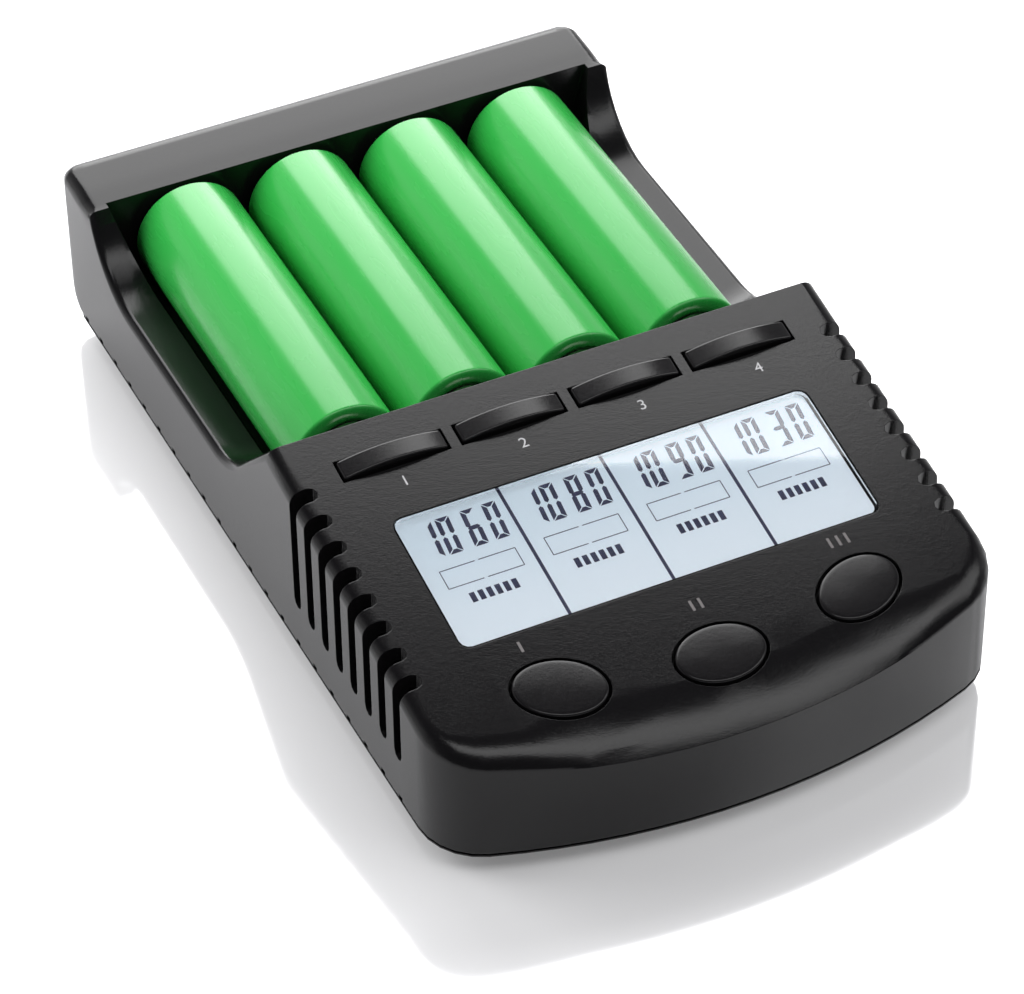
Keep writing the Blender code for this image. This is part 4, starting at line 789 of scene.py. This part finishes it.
def lights():
    softbox()
    fill = area_light("fill_left", FILL_LEFT_PLACE, FILL_LEFT_SIZE, FILL_LEFT_POWER, FILL_LEFT_AIM)
    fill.visible_glossy = False
    area_light("fill_right", FILL_RIGHT_PLACE, FILL_RIGHT_SIZE, FILL_RIGHT_POWER)
    front_strip()


def seen_directly(tree):
    """One for what the camera sees directly, in a mirror or through glass, and zero for lighting."""
    path = tree.nodes.new("ShaderNodeLightPath")
    total = path.outputs["Is Camera Ray"]
    for other in ("Is Glossy Ray", "Is Transmission Ray"):
        node = tree.nodes.new("ShaderNodeMath")
        node.operation = "MAXIMUM"
        link(tree, total, node.inputs[0])
        link(tree, path.outputs[other], node.inputs[1])
        total = node.outputs["Value"]
    return total


def world():
    """A studio that is pale towards the horizon behind the charger and dim overhead and in front."""
    place = bpy.data.worlds.new("studio")
    bpy.context.scene.world = place
    place.use_nodes = True
    tree = place.node_tree
    background = tree.nodes["Background"]
    split = tree.nodes.new("ShaderNodeSeparateXYZ")
    link(tree, tree.nodes.new("ShaderNodeTexCoord").outputs["Generated"], split.inputs["Vector"])
    height = ramp(tree, split.outputs["Z"], *PALE_BELOW)
    behind = ramp(tree, split.outputs["Y"], *PALE_BEHIND)
    low = blend_colors(tree, behind, STUDIO_DIM, STUDIO_PALE)
    mix = tree.nodes.new("ShaderNodeMix")
    mix.data_type = "RGBA"
    link(tree, height, mix.inputs["Factor"])
    link(tree, low, mix.inputs[6])
    mix.inputs[7].default_value = (*STUDIO_OVERHEAD, 1.0)
    link(tree, mix.outputs[2], background.inputs["Color"])
    background.inputs["Strength"].default_value = 1.0


def ramp(tree, value, start, end):
    """A smooth step from zero to one as the value runs from start to end."""
    span = tree.nodes.new("ShaderNodeMapRange")
    span.interpolation_type = "SMOOTHSTEP"
    span.inputs["From Min"].default_value = start
    span.inputs["From Max"].default_value = end
    link(tree, value, span.inputs["Value"])
    return span.outputs["Result"]


def floor():
    """A white, slightly mirroring table."""
    material, tree, shader = new_material("floor_pale")
    shader.inputs["Base Color"].default_value = (*FLOOR_WHITE, 1.0)
    shader.inputs["Metallic"].default_value = FLOOR_MIRROR
    mist = noise(tree, 3.0, 2.0)
    link(tree, between(tree, mist, *FLOOR_ROUGHNESS), shader.inputs["Roughness"])
    lift = tree.nodes.new("ShaderNodeMath")
    lift.operation = "MULTIPLY"
    lift.inputs[1].default_value = FLOOR_LIFT
    link(tree, seen_directly(tree), lift.inputs[0])
    shader.inputs["Emission Color"].default_value = (1.0, 1.0, 1.0, 1.0)
    link(tree, lift.outputs["Value"], shader.inputs["Emission Strength"])
    bm = bmesh.new()
    bmesh.ops.create_grid(bm, x_segments=8, y_segments=8, size=FLOOR_HALF_SIZE)
    mesh = bpy.data.meshes.new("floor")
    bm.to_mesh(mesh)
    bm.free()
    mesh.materials.append(material)
    obj = bpy.data.objects.new("floor", mesh)
    bpy.context.scene.collection.objects.link(obj)


def camera():
    data = bpy.data.cameras.new("camera")
    data.lens = LENS
    data.sensor_width = SENSOR
    data.sensor_fit = "HORIZONTAL"
    data.clip_start = 0.01
    obj = bpy.data.objects.new("camera", data)
    obj.matrix_world = placed(CAMERA_RIGHT, CAMERA_UP, CAMERA_BACK, CAMERA_PLACE)
    bpy.context.scene.collection.objects.link(obj)
    bpy.context.scene.camera = obj


def smooth_nodes():
    """Shade the CAD nodes smooth, with creases where their faces meet at an angle."""
    for node in NODES.values():
        normals = node.data.attributes.get("custom_normal")
        if normals is not None:
            node.data.attributes.remove(normals)
        node.data.shade_smooth()
        weld = node.modifiers.new("Weld", "WELD")
        weld.merge_threshold = WELD_DISTANCE
        crease = node.modifiers.new("Creases", "EDGE_SPLIT")
        crease.split_angle = CREASE
        crease.use_edge_sharp = False
        node.modifiers.new("Flat faces", "WEIGHTED_NORMAL").weight = FLAT_FACE_WEIGHT


def dress(prefixes, material):
    """Give a material to the CAD nodes whose names start with one of the prefixes."""
    for name, node in NODES.items():
        if name.startswith(prefixes):
            node.data.materials.clear()
            node.data.materials.append(material)


def dress_all():
    """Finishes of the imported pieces, apart from the contacts and those that the scene replaces."""
    for finish, prefixes in PLASTIC_PIECES.items():
        dress(prefixes, moulded_plastic(finish))
    for finish, prefixes in METAL_PIECES.items():
        dress(prefixes, metal(finish))
    dress(("display_window",), clear_window())


def contacts():
    """The contacts, the sliders and their springs."""
    nickel = metal("contact_nickel")
    dress(("positive_contact", "negative_slider"), nickel)
    springs(nickel)


def scene_pieces():
    """The pieces that the scene adds or puts in place of coarser ones."""
    cells([wrapper("cell_wrap"), metal("cell_steel"), moulded_plastic("cell_washer")])
    keys(moulded_plastic("key_black"))
    buttons(moulded_plastic("button_black"))
    display_face()
    display_marks()
    printed_numbers(ink("print_grey"))
    printed_labels(ink("print_dim"))


smooth_nodes()
dress_all()
contacts()
scene_pieces()
camera()
lights()
world()
floor()
bpy.context.scene.view_settings.view_transform = "Standard"
